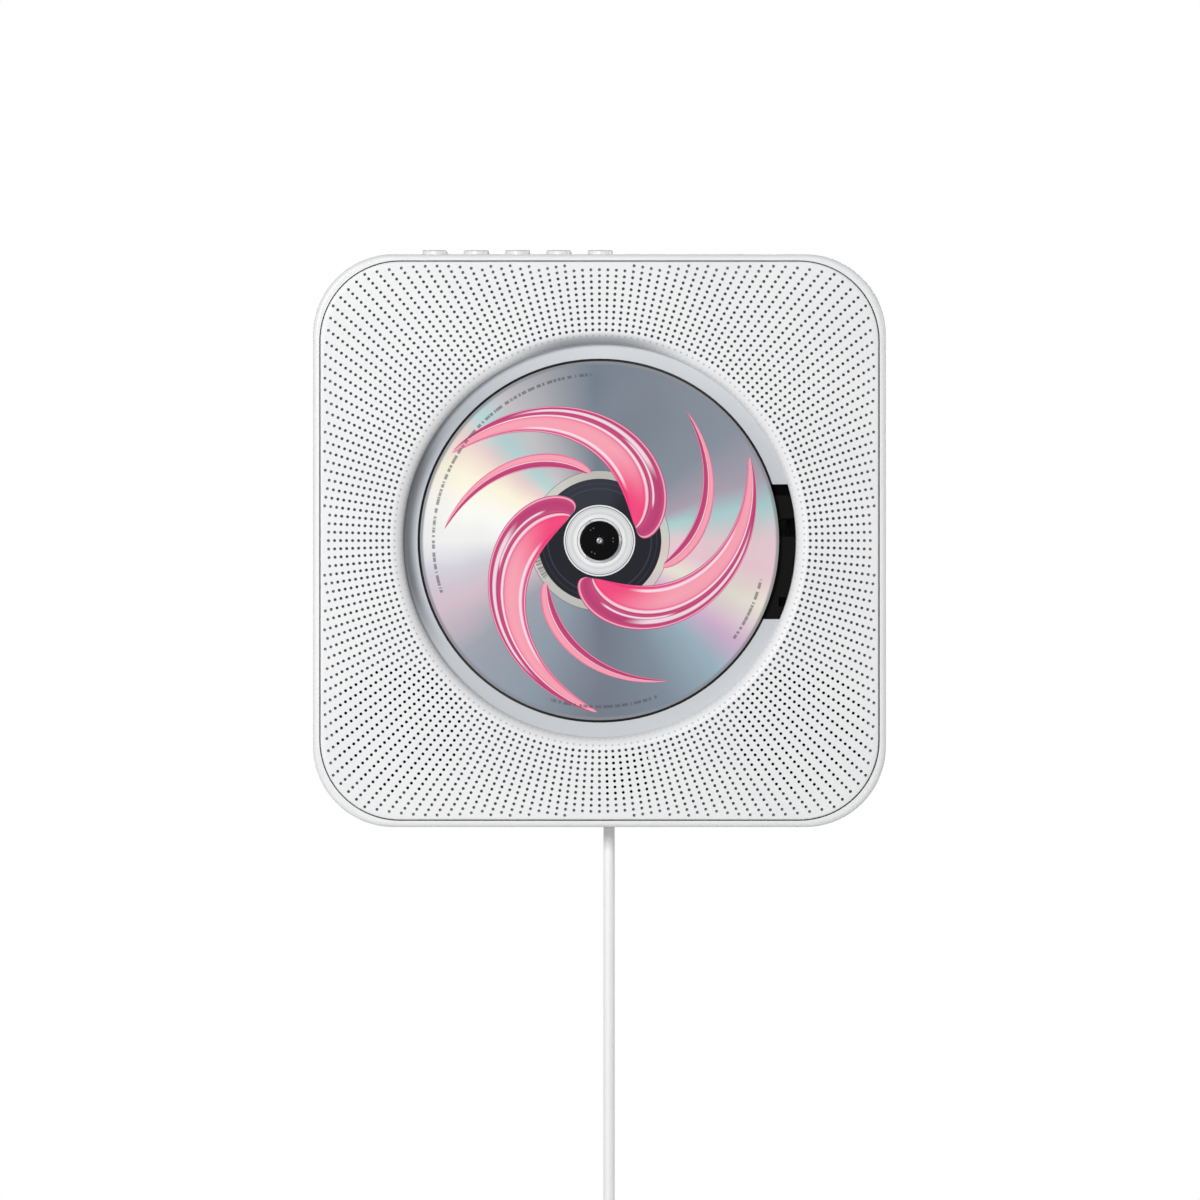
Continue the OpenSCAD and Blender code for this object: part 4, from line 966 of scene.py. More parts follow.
panel = build("perforated_panel", corners, faces, [panel_plastic(), hole_wall(), hole_floor()], "player",
              ["front_panel"], picks=picks, smooth=35)
print("panel", len(panel.data.polygons), "faces")

# %% [markdown]
# ## The disc
#
# A disc is a clear plate, 1.2 mm thick. A mirror layer covers it from the inner band out,
# and the label is printed over that, up to a bare edge that looks grey. The clear ring
# round the hole shows the white turntable behind. The plate is turned on a lathe profile
# with softly broken edges, and three materials share it: clear plastic, the printed top and
# the mirrored underside.

# %% Disc plate
PRINT_IN, MIRROR_IN = 11.9, 22.6
bottom, top = DISC_Z + 0.02, DISC_TOP
profile = [
    (BORE_R + 0.1, bottom), (PRINT_IN, bottom), (16.3, bottom), (16.5, bottom + 0.15), (16.7, bottom + 0.15),
    (16.9, bottom), (MIRROR_IN, bottom), (58.6, bottom), (DISC_R - 0.15, bottom), (DISC_R, bottom + 0.15),
    (DISC_R, top - 0.15), (DISC_R - 0.15, top), (59.2, top), (40, top), (PRINT_IN, top), (BORE_R + 0.1, top),
    (BORE_R, top - 0.1), (BORE_R, bottom + 0.1),
]
CLEAR, PRINT, MIRROR = 0, 1, 2
layers_on = [CLEAR] * 6 + [MIRROR] + [CLEAR] * 4 + [PRINT] * 3 + [CLEAR] * 4
corners, faces, picks = lathe(profile, steps=288, picks=layers_on)


# %% Clear plastic of the plate
def clear_plate():
    f = Finish("clear_plate")
    x, y, _ = f.drawing()
    radius, _, _ = polar(x, y)
    ring = radius.band(11.3, 0.09, 0.10) + radius.band(10.75, 0.04, 0.10) * 0.4
    ring = ring + radius.band(9.2, 0.1, 0.3) * 0.15
    haze = f.noise(3.0)
    # Painted shade: the band round 9.9 mm is greyer, and the edge turns dark grey, then black, as the shadow
    # line round the disc.
    plate_tone_and_painted_shade = f.mix(radius.band(9.9, 1.0, 0.5), (0.98, 0.98, 0.98), (0.86, 0.865, 0.87))
    plate_tone_and_painted_shade = f.mix(radius.rise(59.0, 59.3), plate_tone_and_painted_shade, (0.25, 0.26, 0.28))
    plate_tone_and_painted_shade = f.mix(radius.rise(59.5, 59.8), plate_tone_and_painted_shade, (0.04, 0.04, 0.045))
    return f.surface(
        Base_Color=f.mix(ring, plate_tone_and_painted_shade, (0.16, 0.17, 0.18)),
        Roughness=0.10 + haze * 0.06,
        Alpha=0.87 + ring * 0.12,
    )


# %% [markdown]
# ## The disc's label
#
# The label is a made up one. Silver shines through, and its coloured wedges of reflection,
# which all point at the middle, are painted by the angle alone, so one ramp holds them.
# Over it lie three glossy pink ribbons that swirl out from the hub.
# A ribbon is a distance again: how far the point's angle is from the ribbon's own angle at
# that radius. The ramp across a ribbon has a dark edge, a pale belly and a thin highlight,
# which makes flat print look like rolled enamel.


# %% Painted reflection colours of the silver, by angle
def painted_sheen_wedges(f, turn):
    stops = [
        (0.000, (0.84, 0.62, 0.66)), (0.034, (0.42, 0.68, 0.67)), (0.060, (0.42, 0.35, 0.43)),
        (0.110, (0.24, 0.28, 0.33)), (0.200, (0.20, 0.23, 0.28)), (0.255, (0.17, 0.21, 0.26)),
        (0.300, (0.36, 0.37, 0.40)), (0.345, (0.60, 0.57, 0.58)), (0.372, (0.48, 0.70, 0.69)),
        (0.395, (0.86, 0.66, 0.63)), (0.425, (1.0, 0.93, 0.74)), (0.465, (1.0, 1.0, 0.95)),
        (0.500, (1.0, 1.0, 0.98)), (0.528, (0.74, 0.71, 0.79)), (0.562, (0.76, 0.58, 0.64)),
        (0.610, (0.36, 0.38, 0.44)), (0.680, (0.27, 0.33, 0.39)), (0.750, (0.17, 0.19, 0.24)),
        (0.815, (0.20, 0.25, 0.31)), (0.868, (0.33, 0.47, 0.54)), (0.900, (0.68, 0.45, 0.64)),
        (0.940, (0.84, 0.80, 0.68)), (0.972, (0.88, 0.60, 0.67)), (1.000, (0.84, 0.62, 0.66)),
    ]
    return f.ramp(turn, stops)


# %% A ribbon's colour across its width
def enamel(f, across):
    """From the shaded inner face over a bright ridge to the lit outer face."""
    stops = [
        (0.00, (0.12, 0.006, 0.040)), (0.02, (0.80, 0.13, 0.28)), (0.045, (0.98, 0.55, 0.68)),
        (0.07, (0.62, 0.06, 0.20)), (0.16, (0.50, 0.045, 0.165)), (0.33, (0.56, 0.055, 0.19)),
        (0.385, (0.70, 0.08, 0.24)), (0.40, (0.05, 0.004, 0.02)), (0.415, (0.95, 0.30, 0.42)),
        (0.45, (1.0, 0.86, 0.91)), (0.475, (1.0, 0.62, 0.72)), (0.50, (0.86, 0.15, 0.32)),
        (0.54, (0.95, 0.33, 0.44)), (0.66, (0.98, 0.385, 0.475)), (0.86, (0.98, 0.36, 0.46)),
        (0.93, (0.90, 0.17, 0.33)), (0.955, (0.50, 0.04, 0.16)), (0.97, (0.97, 0.60, 0.72)),
        (0.985, (0.78, 0.10, 0.28)), (1.00, (0.16, 0.008, 0.05)),
    ]
    return f.ramp(across, stops)


# %% The label
RIBBONS = 3


def noise_of(f, place, detail):
    """Noise along a line, for rows of strokes."""
    sockets = {"W": place, "Scale": 1.0, "Detail": detail}
    return f.node("ShaderNodeTexNoise", {"noise_dimensions": "1D"}, sockets)["Fac"]


def printed_label():
    f = Finish("printed_label")
    x, y, _ = f.drawing()
    radius, angle, turn = polar(x, y)
    wobble = f.noise(30.0) - 0.5
    # The silver's colours by angle are painted reflection.
    silver_and_painted_sheen = painted_sheen_wedges(f, (turn + wobble * 0.012).part())
    shade = f.noise(24.0, detail=1.0)
    silver_and_painted_sheen = f.mix(shade.rise(0.3, 0.7) * 0.22, silver_and_painted_sheen, (0.30, 0.33, 0.38))

    def ribbon(start, twist, inner, outer, width):
        """Mask, place across and place along a ribbon whose angle slides by twist from hub to rim."""
        along = ((radius - inner) / (outer - inner)).most(0.0).least(1.0)
        away = ((angle - start - along * twist) / (2 * math.pi / RIBBONS) + 0.5).part() - 0.5
        arc = away * radius * (2 * math.pi / RIBBONS)
        belly = (along ** 0.8 * math.pi).sine() ** 0.62
        place = arc / (belly * width + 0.01)
        ends = radius.rise(inner, inner + 0.4) * radius.rise(outer, outer - 0.4)
        return abs(place).rise(1.0, 0.985) * ends, place * 0.5 + 0.5, along

    wide, across, along = ribbon(0.35, 2.25, 12.6, 57.4, 13.5)
    thin, thin_across, _ = ribbon(1.72, 1.35, 22.6, 52.0, 4.4)
    hot = along.rise(0.42, 0.08) * across.rise(0.42, 0.52)
    paint = f.mix(hot * 0.85, enamel(f, across), (0.93, 0.012, 0.17))
    gleam = across.band(0.22, 0.03, 0.05) * along.band(0.60, 0.17, 0.10)
    gleam = gleam.most(across.band(0.31, 0.012, 0.02) * along.band(0.34, 0.12, 0.05))
    gleam = gleam.most(across.band(0.885, 0.012, 0.03) * along.band(0.45, 0.22, 0.10))
    paint = f.mix(gleam * 0.85, paint, (1.0, 0.84, 0.91))
    colour = f.mix(wide, silver_and_painted_sheen, paint)
    colour = f.mix(thin, colour, enamel(f, 1 - thin_across))
    mask = wide.most(thin)

    navy = radius.rise(20.7, 20.55) * (1 - mask)
    cream = radius.band(21.95, 1.25, 0.08) * (1 - mask)
    line = radius.band(23.35, 0.07, 0.08) * (1 - mask)
    colour = f.mix(cream * 0.7, colour, (0.64, 0.62, 0.54))
    rings = radius.band(17.3, 0.16, 0.12) + radius.band(19.1, 0.10, 0.12) * 0.6
    dark = f.mix(turn.band(0.28, 0.05, 0.09), (0.0035, 0.0038, 0.010), (0.022, 0.024, 0.040))
    colour = f.mix(navy, colour, f.mix(rings * 0.6, dark, (0.05, 0.055, 0.08)))
    colour = f.mix(line * 0.8, colour, (0.16, 0.16, 0.18))

    bars = noise_of(f, turn * 420, 0.0).rise(0.50, 0.53) * radius.band(21.6, 0.95, 0.05)
    bars = bars * turn.band(0.535, 0.06, 0.002) * (1 - mask)
    colour = f.mix(bars * 0.85, colour, (0.06, 0.06, 0.05))

    dashes = noise_of(f, turn * 260, 1.0).rise(0.42, 0.5) * radius.band(55.4, 0.42, 0.14)
    arcs = turn.band(0.405, 0.145, 0.004) + turn.band(0.93, 0.03, 0.004) + turn.band(0.755, 0.05, 0.004)
    colour = f.mix(dashes * arcs * 0.7, colour, (0.10, 0.10, 0.12))
    bare_edge = radius.rise(58.5, 59.3)
    colour = f.mix(bare_edge * 0.85, colour, (0.26, 0.265, 0.28))

    grooves = (radius * 7.0).sine() * 0.5 + 0.5
    silver_left = 1 - mask.most(navy).most(bare_edge)
    return f.surface(
        Base_Color=colour,
        Metallic=silver_left * 0.35,
        Roughness=0.16 - silver_left * 0.05,
        Specular_IOR_Level=0.25,
        Normal=f.bump(grooves * silver_left, 0.001),
    )


def mirror_side():
    f = Finish("mirror_side")
    x, y, _ = f.drawing()
    radius, _, turn = polar(x, y)
    # The rainbow is painted reflection, by angle and radius.
    painted_rainbow_sheen = f.ramp(((turn * 4).part() * 0.5 + (radius / 60) * 0.5).part(), [
        (0.0, (0.72, 0.76, 0.80)), (0.25, (0.62, 0.80, 0.74)), (0.45, (0.86, 0.82, 0.58)),
        (0.62, (0.86, 0.60, 0.62)), (0.8, (0.66, 0.60, 0.84)), (1.0, (0.72, 0.76, 0.80))])
    return f.surface(Base_Color=painted_rainbow_sheen, Metallic=1.0, Roughness=0.1 + f.noise(20.0) * 0.05)


disc = build("labelled_disc", corners, faces, [clear_plate(), printed_label(), mirror_side()], "disc",
             ["disc"], picks=picks, smooth=40)
print("disc", len(disc.data.polygons), "faces")

# %% [markdown]
# ## The hub cap
#
# Three sprung balls under a black cap hold the disc. The cap is a hollow cup: its top covers
# the balls and leaves only the shaft's end bare, and three windows in its side let them
# reach out over the disc's edge. Pairs of small pips beside each window are the sprues of
# the moulding.

# %% Cap with its windows and pips
CAP_R, CAP_LOW, CAP_TOP, CAP_WALL, SHAFT_R = 6.6, 39.32, 41.08, 0.4, 1.5
BALL_ANGLES, BALL_HALF = (3, 123, 243), 22
CAP_STEPS, PIP_AT, PIP_ASIDE = 240, 4.6, 7
corners, faces, picks = [], [], []


def beside_ball(k):
    """Whether step k of the cap's wall lies in one of the windows."""
    middle_of_step = 360 * (k + 0.5) / CAP_STEPS
    return any(abs((middle_of_step - a + 180) % 360 - 180) < BALL_HALF for a in BALL_ANGLES)


levels = [(SHAFT_R, CAP_TOP - 0.12), (SHAFT_R, CAP_TOP - 0.04), (SHAFT_R + 0.08, CAP_TOP),
          (SHAFT_R + 0.16, CAP_TOP), (CAP_R - 0.45, CAP_TOP), (CAP_R - 0.35, CAP_TOP),
          (CAP_R - 0.14, CAP_TOP - 0.05), (CAP_R - 0.03, CAP_TOP - 0.16), (CAP_R, CAP_TOP - 0.3),
          (CAP_R, CAP_LOW), (CAP_R - CAP_WALL, CAP_LOW), (CAP_R - CAP_WALL, CAP_TOP - 0.3)]
rings = [loop_at(round_points(0, 0, r, CAP_STEPS), z) for r, z in levels]
walls(*reversed(rings[:9]))
walls(*reversed(rings[8:]), open_at=beside_ball)
paint(0)


def pip(x, y, z, r, high):
    """A small round bump on a flat face."""
    steps = ((1.0, 0.0), (0.8, 0.6), (0.4, 0.92))
    bump = [loop_at(round_points(x, y, r * share, 12), z + high * up) for share, up in steps]
    walls(*bump)
    faces.append(tuple(bump[-1]))


for a in BALL_ANGLES:
    for side in (-1, 1):
        turn_by = math.radians(a + side * PIP_ASIDE)
        pip(PIP_AT * math.cos(turn_by), PIP_AT * math.sin(turn_by), CAP_TOP, 0.26, 0.12)
paint(1)
# The pips are painted a lighter grey as their highlights.
pip_highlight_grey = moulded("pip_highlight_grey", (0.085, 0.085, 0.085), 0.35, grain_mm=0.1, grain=0.004)
cup = build("hub_cup", corners, faces, [black_gloss, pip_highlight_grey], "turntable", ["hub_cap"],
            picks=picks, smooth=40)
print("cup", len(cup.data.polygons), "faces")

# %% [markdown]
# The shaft's end stands in the middle of the cap. It is ground, with a small centre hole and
# a broken edge. That leaves one bright ring and one dark one, although the shaft is only two
# and a half millimetres across.

# %% Shaft with its turned end
shaft_ends = [-end[1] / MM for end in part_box("spindle")]
SHAFT_TOP, SHAFT_FOOT, SHAFT = max(shaft_ends), min(shaft_ends), 1.25
shaft_profile = [
    (SHAFT - 0.2, SHAFT_FOOT), (SHAFT, SHAFT_FOOT + 0.2), (SHAFT, SHAFT_TOP - 0.42),
    (SHAFT - 0.08, SHAFT_TOP - 0.25), (SHAFT - 0.35, SHAFT_TOP - 0.12), (0.66, SHAFT_TOP - 0.02),
    (0.58, SHAFT_TOP), (0.30, SHAFT_TOP), (0.24, SHAFT_TOP - 0.05), (0.06, SHAFT_TOP - 0.3),
]
corners, faces, _ = lathe(shaft_profile, steps=64, close=False)
build("turned_shaft", corners, faces, [shaft_steel], "turntable", ["spindle"], smooth=40)
print("shaft", round(SHAFT_TOP - SHAFT_FOOT, 1), "mm long")

# %% [markdown]
# ## The turntable
#
# The disc rests on a white flange and is centred by its boss. Three balls look out of the
# boss. Each has a notch that follows the ball's own circle with a hair of play, so that no
# dark gap shows beside it, and runs on inwards as far as the ball can give way. The flange
# is turned on a profile. The notches cut through the boss's edge, so here walls hang from
# every edge that only one triangle uses.

# %% Turntable
FLANGE_Z, MAT_Z, BOSS_TOP, BOSS_R, FLANGE_R = 35.3, 37.0, 39.3, 7.35, 12.0
BALL_AT, BALL_R, BALL_PLAY, BALL_TRAVEL, BOSS_IN = 5.4, 2.0, 0.07, 0.55, 3.2
table_profile = [
    (SHAFT, FLANGE_Z - 2), (3.85, FLANGE_Z - 2), (4.0, FLANGE_Z - 1.85), (4.0, FLANGE_Z),
    (FLANGE_R - 0.2, FLANGE_Z), (FLANGE_R, FLANGE_Z + 0.2), (FLANGE_R, MAT_Z - 0.15),
    (FLANGE_R - 0.15, MAT_Z), (SHAFT, MAT_Z),
]
BEVEL = 0.08
corners, faces, _ = lathe(table_profile, steps=192)
loops = [round_points(0, 0, BOSS_R - BEVEL, 288), round_points(0, 0, BOSS_IN, 96)]
for ball_angle in BALL_ANGLES:
    notch = []
    for k in range(96):
        a = 2 * math.pi * (k + 0.5) / 96
        u = BALL_AT + (BALL_R + BALL_PLAY) * math.cos(a) - (BALL_TRAVEL if math.cos(a) < 0 else 0)
        notch.append((u, (BALL_R + BALL_PLAY) * math.sin(a)))
    loops.append(moved(notch, 0, 0, ball_angle))
found, cut, _ = triangulated(loops)
top_faces = []
for t in cut:
    middle = middle_of(found, t)
    if encloses(loops[0], middle) and not any(encloses(loop, middle) for loop in loops[1:]):
        top_faces.append(tuple(t))
used = {}
for t in top_faces:
    for a, b in zip(t, t[1:] + t[:1]):
        used[frozenset((a, b))] = None if frozenset((a, b)) in used else (a, b)
base, count = len(corners), len(found)
corners.extend(at(q[0], q[1], BOSS_TOP) for q in found)
for q in found:
    r = math.hypot(q[0], q[1])
    grow = 1 + (BEVEL / r if r > BOSS_R - 0.1 else 0)
    corners.append(at(q[0] * grow, q[1] * grow, BOSS_TOP - BEVEL))
corners.extend(c + Vector((0, (BOSS_TOP - BEVEL - MAT_Z) * MM, 0)) for c in corners[base + count:])
faces.extend(tuple(base + c for c in t) for t in top_faces)
for pair in used.values():
    if pair:
        a, b = pair
        for low in (count, 2 * count):
            upper, lower = base + low - count, base + low
            faces.append((upper + b, upper + a, lower + a, lower + b))
table = build("notched_turntable", corners, faces, [white_shell], "turntable",
              ["turntable"], smooth=35)
cleaned(table, turn_out=False)
print("turntable", len(table.data.polygons), "faces")

# %% [markdown]
# ## The keys
#
# Five round caps stand in the top edge. Seen from the front only their outline shows, so what
# counts is a crisp rim: the wall leans in a little, as a moulding must to leave its tool, and
# ends in a tight rounding. The top is dished for a fingertip. The flange that keeps a key in
# its hole and the stem that presses the switch are turned in the same profile.

# %% Key caps
KEY_Z, KEY_FIRST, KEY_PITCH = 24.0, -54.8, 13.8
KEY_FLANGE, KEY_TOP = 91.6, 97.0


def key_plastic():
    f = Finish("key_plastic")
    x, y, z = f.drawing()
    off = (((x - KEY_FIRST) / KEY_PITCH + 0.5).part() - 0.5) * KEY_PITCH
    radius = (off * off + (z - KEY_Z) ** 2).root()
    # Painted shade: the top rim and the left flank are grey, which draws the key's outline.
    rim = y.rise(KEY_TOP - 0.42, KEY_TOP - 0.22) * radius.rise(3.85, 4.05)
    left_flank_shade = off.rise(-3.95, -4.25) * 0.7
    plain = f.mix(f.noise(9.0), (0.875, 0.87, 0.87), (0.89, 0.885, 0.885))
    colour = f.mix(rim.most(left_flank_shade), plain, (0.50, 0.495, 0.495))
    return f.grained(colour, 0.26, size_mm=0.2, depth_mm=0.002, spread=0.1)


key_white = key_plastic()
key_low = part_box("key_1")[0][2] / MM + BRACKET_UP
key_profile = [
    (1.35, key_low), (1.5, key_low + 0.15), (1.5, KEY_FLANGE), (5.25, KEY_FLANGE), (5.4, KEY_FLANGE + 0.15),
    (5.4, KEY_FLANGE + 1.45), (5.25, KEY_FLANGE + 1.6), (4.42, KEY_FLANGE + 1.6), (4.4, 95.3),
    (4.27, KEY_TOP - 0.24), (4.22, KEY_TOP - 0.09), (4.12, KEY_TOP - 0.015), (4.0, KEY_TOP),
    (3.7, KEY_TOP), (3.5, KEY_TOP - 0.03), (2.6, KEY_TOP - 0.2), (1.4, KEY_TOP - 0.3),
    (0.5, KEY_TOP - 0.33),
]
for number in range(1, 6):
    key_x = KEY_FIRST + (number - 1) * KEY_PITCH

    def round_key(r, degrees, y, key_x=key_x):
        a = math.radians(degrees)
        return at(key_x + r * math.cos(a), y, KEY_Z - r * math.sin(a))

    corners, faces, _ = lathe(key_profile, steps=96, close=False, place=round_key)
    cap = build(f"key_cap_{number}", corners, faces, [key_white], f"key_{number}",
                [f"key_{number}"], smooth=35)
print("keys", len(cap.data.polygons), "faces each, tops at", KEY_TOP)

# %% [markdown]
# ## Screws of the rear cover
#
# Four long screws hold the cover, sunk into its back. Each has a low domed head with a cross
# recess. The flat part of the head is a sheet between a circle and a cross, and the recess
# hangs from the cross with walls that narrow towards its floor.

# %% Case screws
SCREW_HEAD_R, SCREW_HEAD_Z, SCREW_SHANK_R, SCREW_SHANK_Z, SCREW_END_Z = 2.8, 1.1, 1.5, 2.5, 12.5
CROSS_LONG, CROSS_HALF, CROSS_DEEP = 1.5, 0.36, 0.9
SCREW_STEPS = 48


def cross(long, half):
    """The outline of an upright cross, anticlockwise."""
    arm = ((long, -half), (long, half), (half, half))
    return [(u * c - v * s, u * s + v * c) for c, s in ((1, 0), (0, 1), (-1, 0), (0, -1)) for u, v in arm]


side = [
    (SCREW_HEAD_R - 0.35, SCREW_HEAD_Z + 0.08), (SCREW_HEAD_R - 0.1, SCREW_HEAD_Z + 0.25),
    (SCREW_HEAD_R, SCREW_HEAD_Z + 0.55), (SCREW_HEAD_R, SCREW_SHANK_Z), (SCREW_SHANK_R, SCREW_SHANK_Z),
    (SCREW_SHANK_R, SCREW_END_Z - 1.2), (0.4, SCREW_END_Z),
]
corners, faces = [], []
for (x, y), spin in zip(POSTS, (20, 55, -12, 71)):
    flat = moved(round_points(0, 0, SCREW_HEAD_R - 0.7, SCREW_STEPS), x, y, spin)
    recess = moved(cross(CROSS_LONG, CROSS_HALF), x, y, spin)
    rim, recess_rim = sheet(flat, [recess], SCREW_HEAD_Z, flip=True)
    narrow = moved(cross(CROSS_LONG * 0.62, CROSS_HALF * 0.7), x, y, spin)
    sunk = loop_at(narrow, SCREW_HEAD_Z + CROSS_DEEP)
    walls(recess_rim, sunk)
    faces.append(tuple(sunk))
    rings = [rim]
    for r, z in side:
        rings.append(loop_at(moved(round_points(0, 0, r, SCREW_STEPS), x, y, spin), z))
    walls(*reversed(rings))
    faces.append(tuple(rings[-1]))
screws = build("cross_head_screws", corners, faces, [zinc_steel], "player", ["case_screws"],
               smooth=40)
print("screws", len(screws.data.polygons), "faces")

# %% [markdown]
# ## The rear cover and its bracket
#
# The back is judged as well as the front. A solid's edges are knife sharp, and two solids that
# meet leave no line. The cover gets a rounded edge, a fine groove where it meets the frame,
# and broken edges round the vents, the screw pockets and the recess for the bracket. It is
# two sheets again, the outer and the inner one, and the recess has a pair of its own.

# %% Rear cover
BACK_Z, INSIDE_Z, HALF, CORNER = 1.0, 3.5, 95.5, 27.0
PLATE_Y, STUD_X, LIFT = BRACKET_UP, 18.0, 10.0
RECESS = (67.0, 41.0, 4.0, PLATE_Y - LIFT / 2)
RECESS_Z, RECESS_IN_Z, BOARD_Z = 2.5, 4.5, 9.0
VENTS, HEAD_POCKET, HEAD_BORE, BOARD_POST, JACK_POST = 6, 3.1, 1.55, 2.6, 2.0


def body_loop(inset):
    return rounded_loop(2 * (HALF - inset), 2 * (HALF - inset), CORNER - inset, 25)


def recess_loop(more):
    w, h, r, y = RECESS
    return moved(rounded_loop(w + 2 * more, h + 2 * more, r + more, 9), 0, y)


def keyhole(x, slot_r=2.6, head_r=4.8):
    """A round opening for a stud's head, with a slot up to where the stud comes to rest."""
    meet = math.degrees(math.acos(slot_r / head_r))
    loop = []
    for k in range(41):
        a = math.radians(180 - meet + (180 + 2 * meet) * k / 40)
        loop.append((x + head_r * math.cos(a), PLATE_Y - LIFT + head_r * math.sin(a)))
    for k in range(17):
        a = math.radians(180 * k / 16)
        loop.append((x + slot_r * math.cos(a), PLATE_Y + slot_r * math.sin(a)))
    return loop


def vents(more=0.0):
    return [vent(k, more) for k in range(VENTS)]


def vent(k, more):
    return moved(rounded_loop(60 + 2 * more, 1.6 + 2 * more, 0.78 + more, 7), 0, -52 - 5 * k)


def post_loops(places, r):
    return [round_points(x, y, r, 40) for x, y in places]


corners, faces = [], []
board_low, board_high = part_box("main_board")
board_x = (board_high[0] - board_low[0]) / 2 / MM - 4
board_y = board_low[2] / MM + BRACKET_UP
board_posts = [(side * board_x, board_y + up) for side in (-1, 1) for up in (5, 35)]
jack_posts = [(HALF - 9.5, 27.0), (HALF - 9.5, 41.0)]
back = sheet(body_loop(1.0), [recess_loop(0.3)] + vents(0.2) + post_loops(POSTS, 3.35), BACK_Z)
openings = [recess_loop(2.0)] + vents() + post_loops(POSTS, HEAD_BORE)
openings += post_loops(board_posts, BOARD_POST) + post_loops(jack_posts, JACK_POST)
front = sheet(body_loop(0.35), openings, INSIDE_Z)
edge = [loop_at(body_loop(1 - math.sin(math.radians(a))), BACK_Z + 1 - math.cos(math.radians(a)))
        for a in (15, 30, 45, 60, 75, 90)]
walls(back[0], *edge, loop_at(body_loop(0), 3.15), loop_at(body_loop(0.35), 3.2), front[0])
pairs = list(zip(back[2:], front[2:]))
for k, (outside, inside) in enumerate(pairs[:VENTS]):
    walls(outside, loop_at(vent(k, 0.0), BACK_Z + 0.25), inside)
for place, (outside, inside) in zip(POSTS, pairs[VENTS:]):
    wide, narrow = (round_points(*place, r, 40) for r in (HEAD_POCKET, HEAD_BORE))
    pocket = [loop_at(wide, BACK_Z + 0.3), loop_at(wide, RECESS_Z), loop_at(narrow, RECESS_Z)]
    walls(outside, *pocket, inside)
keyholes = [keyhole(-STUD_X), keyhole(STUD_X)]
recess_out = sheet(recess_loop(0), keyholes, RECESS_Z)
recess_in = sheet(recess_loop(2.0), keyholes, RECESS_IN_Z)
walls(back[1], loop_at(recess_loop(0), BACK_Z + 0.3), recess_out[0])
walls(front[1], recess_in[0])
for out_loop, in_loop in zip(recess_out[1:], recess_in[1:]):
    walls(out_loop, in_loop)
for place, rim in zip(board_posts, front[12:]):
    bore = round_points(*place, 1.3, 40)
    foot = loop_at(bore, INSIDE_Z + 0.5)
    walls(rim, loop_at(round_points(*place, BOARD_POST, 40), BOARD_Z), loop_at(bore, BOARD_Z), foot)
    faces.append(tuple(foot))
for place, rim in zip(jack_posts, front[16:]):
    top_loop = loop_at(round_points(*place, JACK_POST, 40), BOARD_Z)
    walls(rim, top_loop)
    faces.append(tuple(top_loop))
cover = cleaned(build("rounded_cover", corners, faces, [white_shell], "player",
                      ["rear_cover"], smooth=35))
print("cover", len(cover.data.polygons), "faces")

# %% Wall bracket
corners, faces = [], []
PLATE, PLATE_BORE, PLATE_TOP = (66, 30, 4), 2.2, 2.0


def plate_loop(inset):
    w, h, r = PLATE
    return moved(rounded_loop(w - 2 * inset, h - 2 * inset, r - inset, 9), 0, PLATE_Y)


screw_places = [(-27.0, PLATE_Y), (27.0, PLATE_Y)]
wall_side = sheet(plate_loop(0.25), post_loops(screw_places, 2.3), 0.0)
room_side = sheet(plate_loop(0.4), post_loops(screw_places, 4.0), PLATE_TOP)
edge = [loop_at(plate_loop(inset), z) for inset, z in ((0, 0.25), (0, 1.6), (0.12, 1.88))]
walls(wall_side[0], *edge, room_side[0])
for place, low, high in zip(screw_places, wall_side[1:], room_side[1:]):
    bore = round_points(*place, PLATE_BORE, 40)
    walls(low, loop_at(bore, 0.1), loop_at(bore, 0.6), high)
stud = [(2.8, 2.0), (2.55, 2.12), (2.4, 2.4), (2.4, 5.0), (4.2, 5.0), (4.4, 5.2), (4.4, 6.2), (4.25, 6.55),
        (3.9, 6.8), (1.0, 6.8)]
for x in (-STUD_X, STUD_X):
    more_corners, more_faces, _ = lathe(stud, steps=48, close=False, place=facing(x, PLATE_Y))
    faces.extend(tuple(len(corners) + c for c in face) for face in more_faces)
    corners.extend(more_corners)
bracket = cleaned(build("stud_bracket", corners, faces, [bracket_white], "bracket",
                        ["wall_plate"], smooth=35))
print("bracket", len(bracket.data.polygons), "faces")

# %% [markdown]
# ## The pull switch's spring
#
# The cord pulls a slider down against a coil spring, which gets shorter as the slider comes
# down. The spring is a wire swept along a helix, standing on the housing at the full height
# of its solid.

# %% Spring
WIRE_R, SPRING_R, SPRING_TURNS, TURN_PARTS, WIRE_SIDES, PULL = 0.5, 4.0, 5, 32, 12, 4.0
spring_low, spring_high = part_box("pull_spring")
foot, head = spring_low[2] / MM + BRACKET_UP, spring_high[2] / MM + BRACKET_UP
turns = []
for i in range(SPRING_TURNS * TURN_PARTS + 1):
    a = 2 * math.pi * i / TURN_PARTS
    y = foot + WIRE_R + (head - foot - 2 * WIRE_R) * i / (SPRING_TURNS * TURN_PARTS)
    turns.append([at(CORD_X + r * math.cos(a), y + up, CORD_Z + r * math.sin(a))
                  for r, up in round_points(SPRING_R, 0, WIRE_R, WIRE_SIDES)])
corners, faces = lofted(turns)
spring = build("wound_spring", corners, faces, [ground_steel], "player",
               ["pull_spring"], smooth=60)
tuple(at(CORD_X, foot, CORD_Z))
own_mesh(spring)
print("spring", round(head - foot, 2), "mm high,", len(faces), "faces")

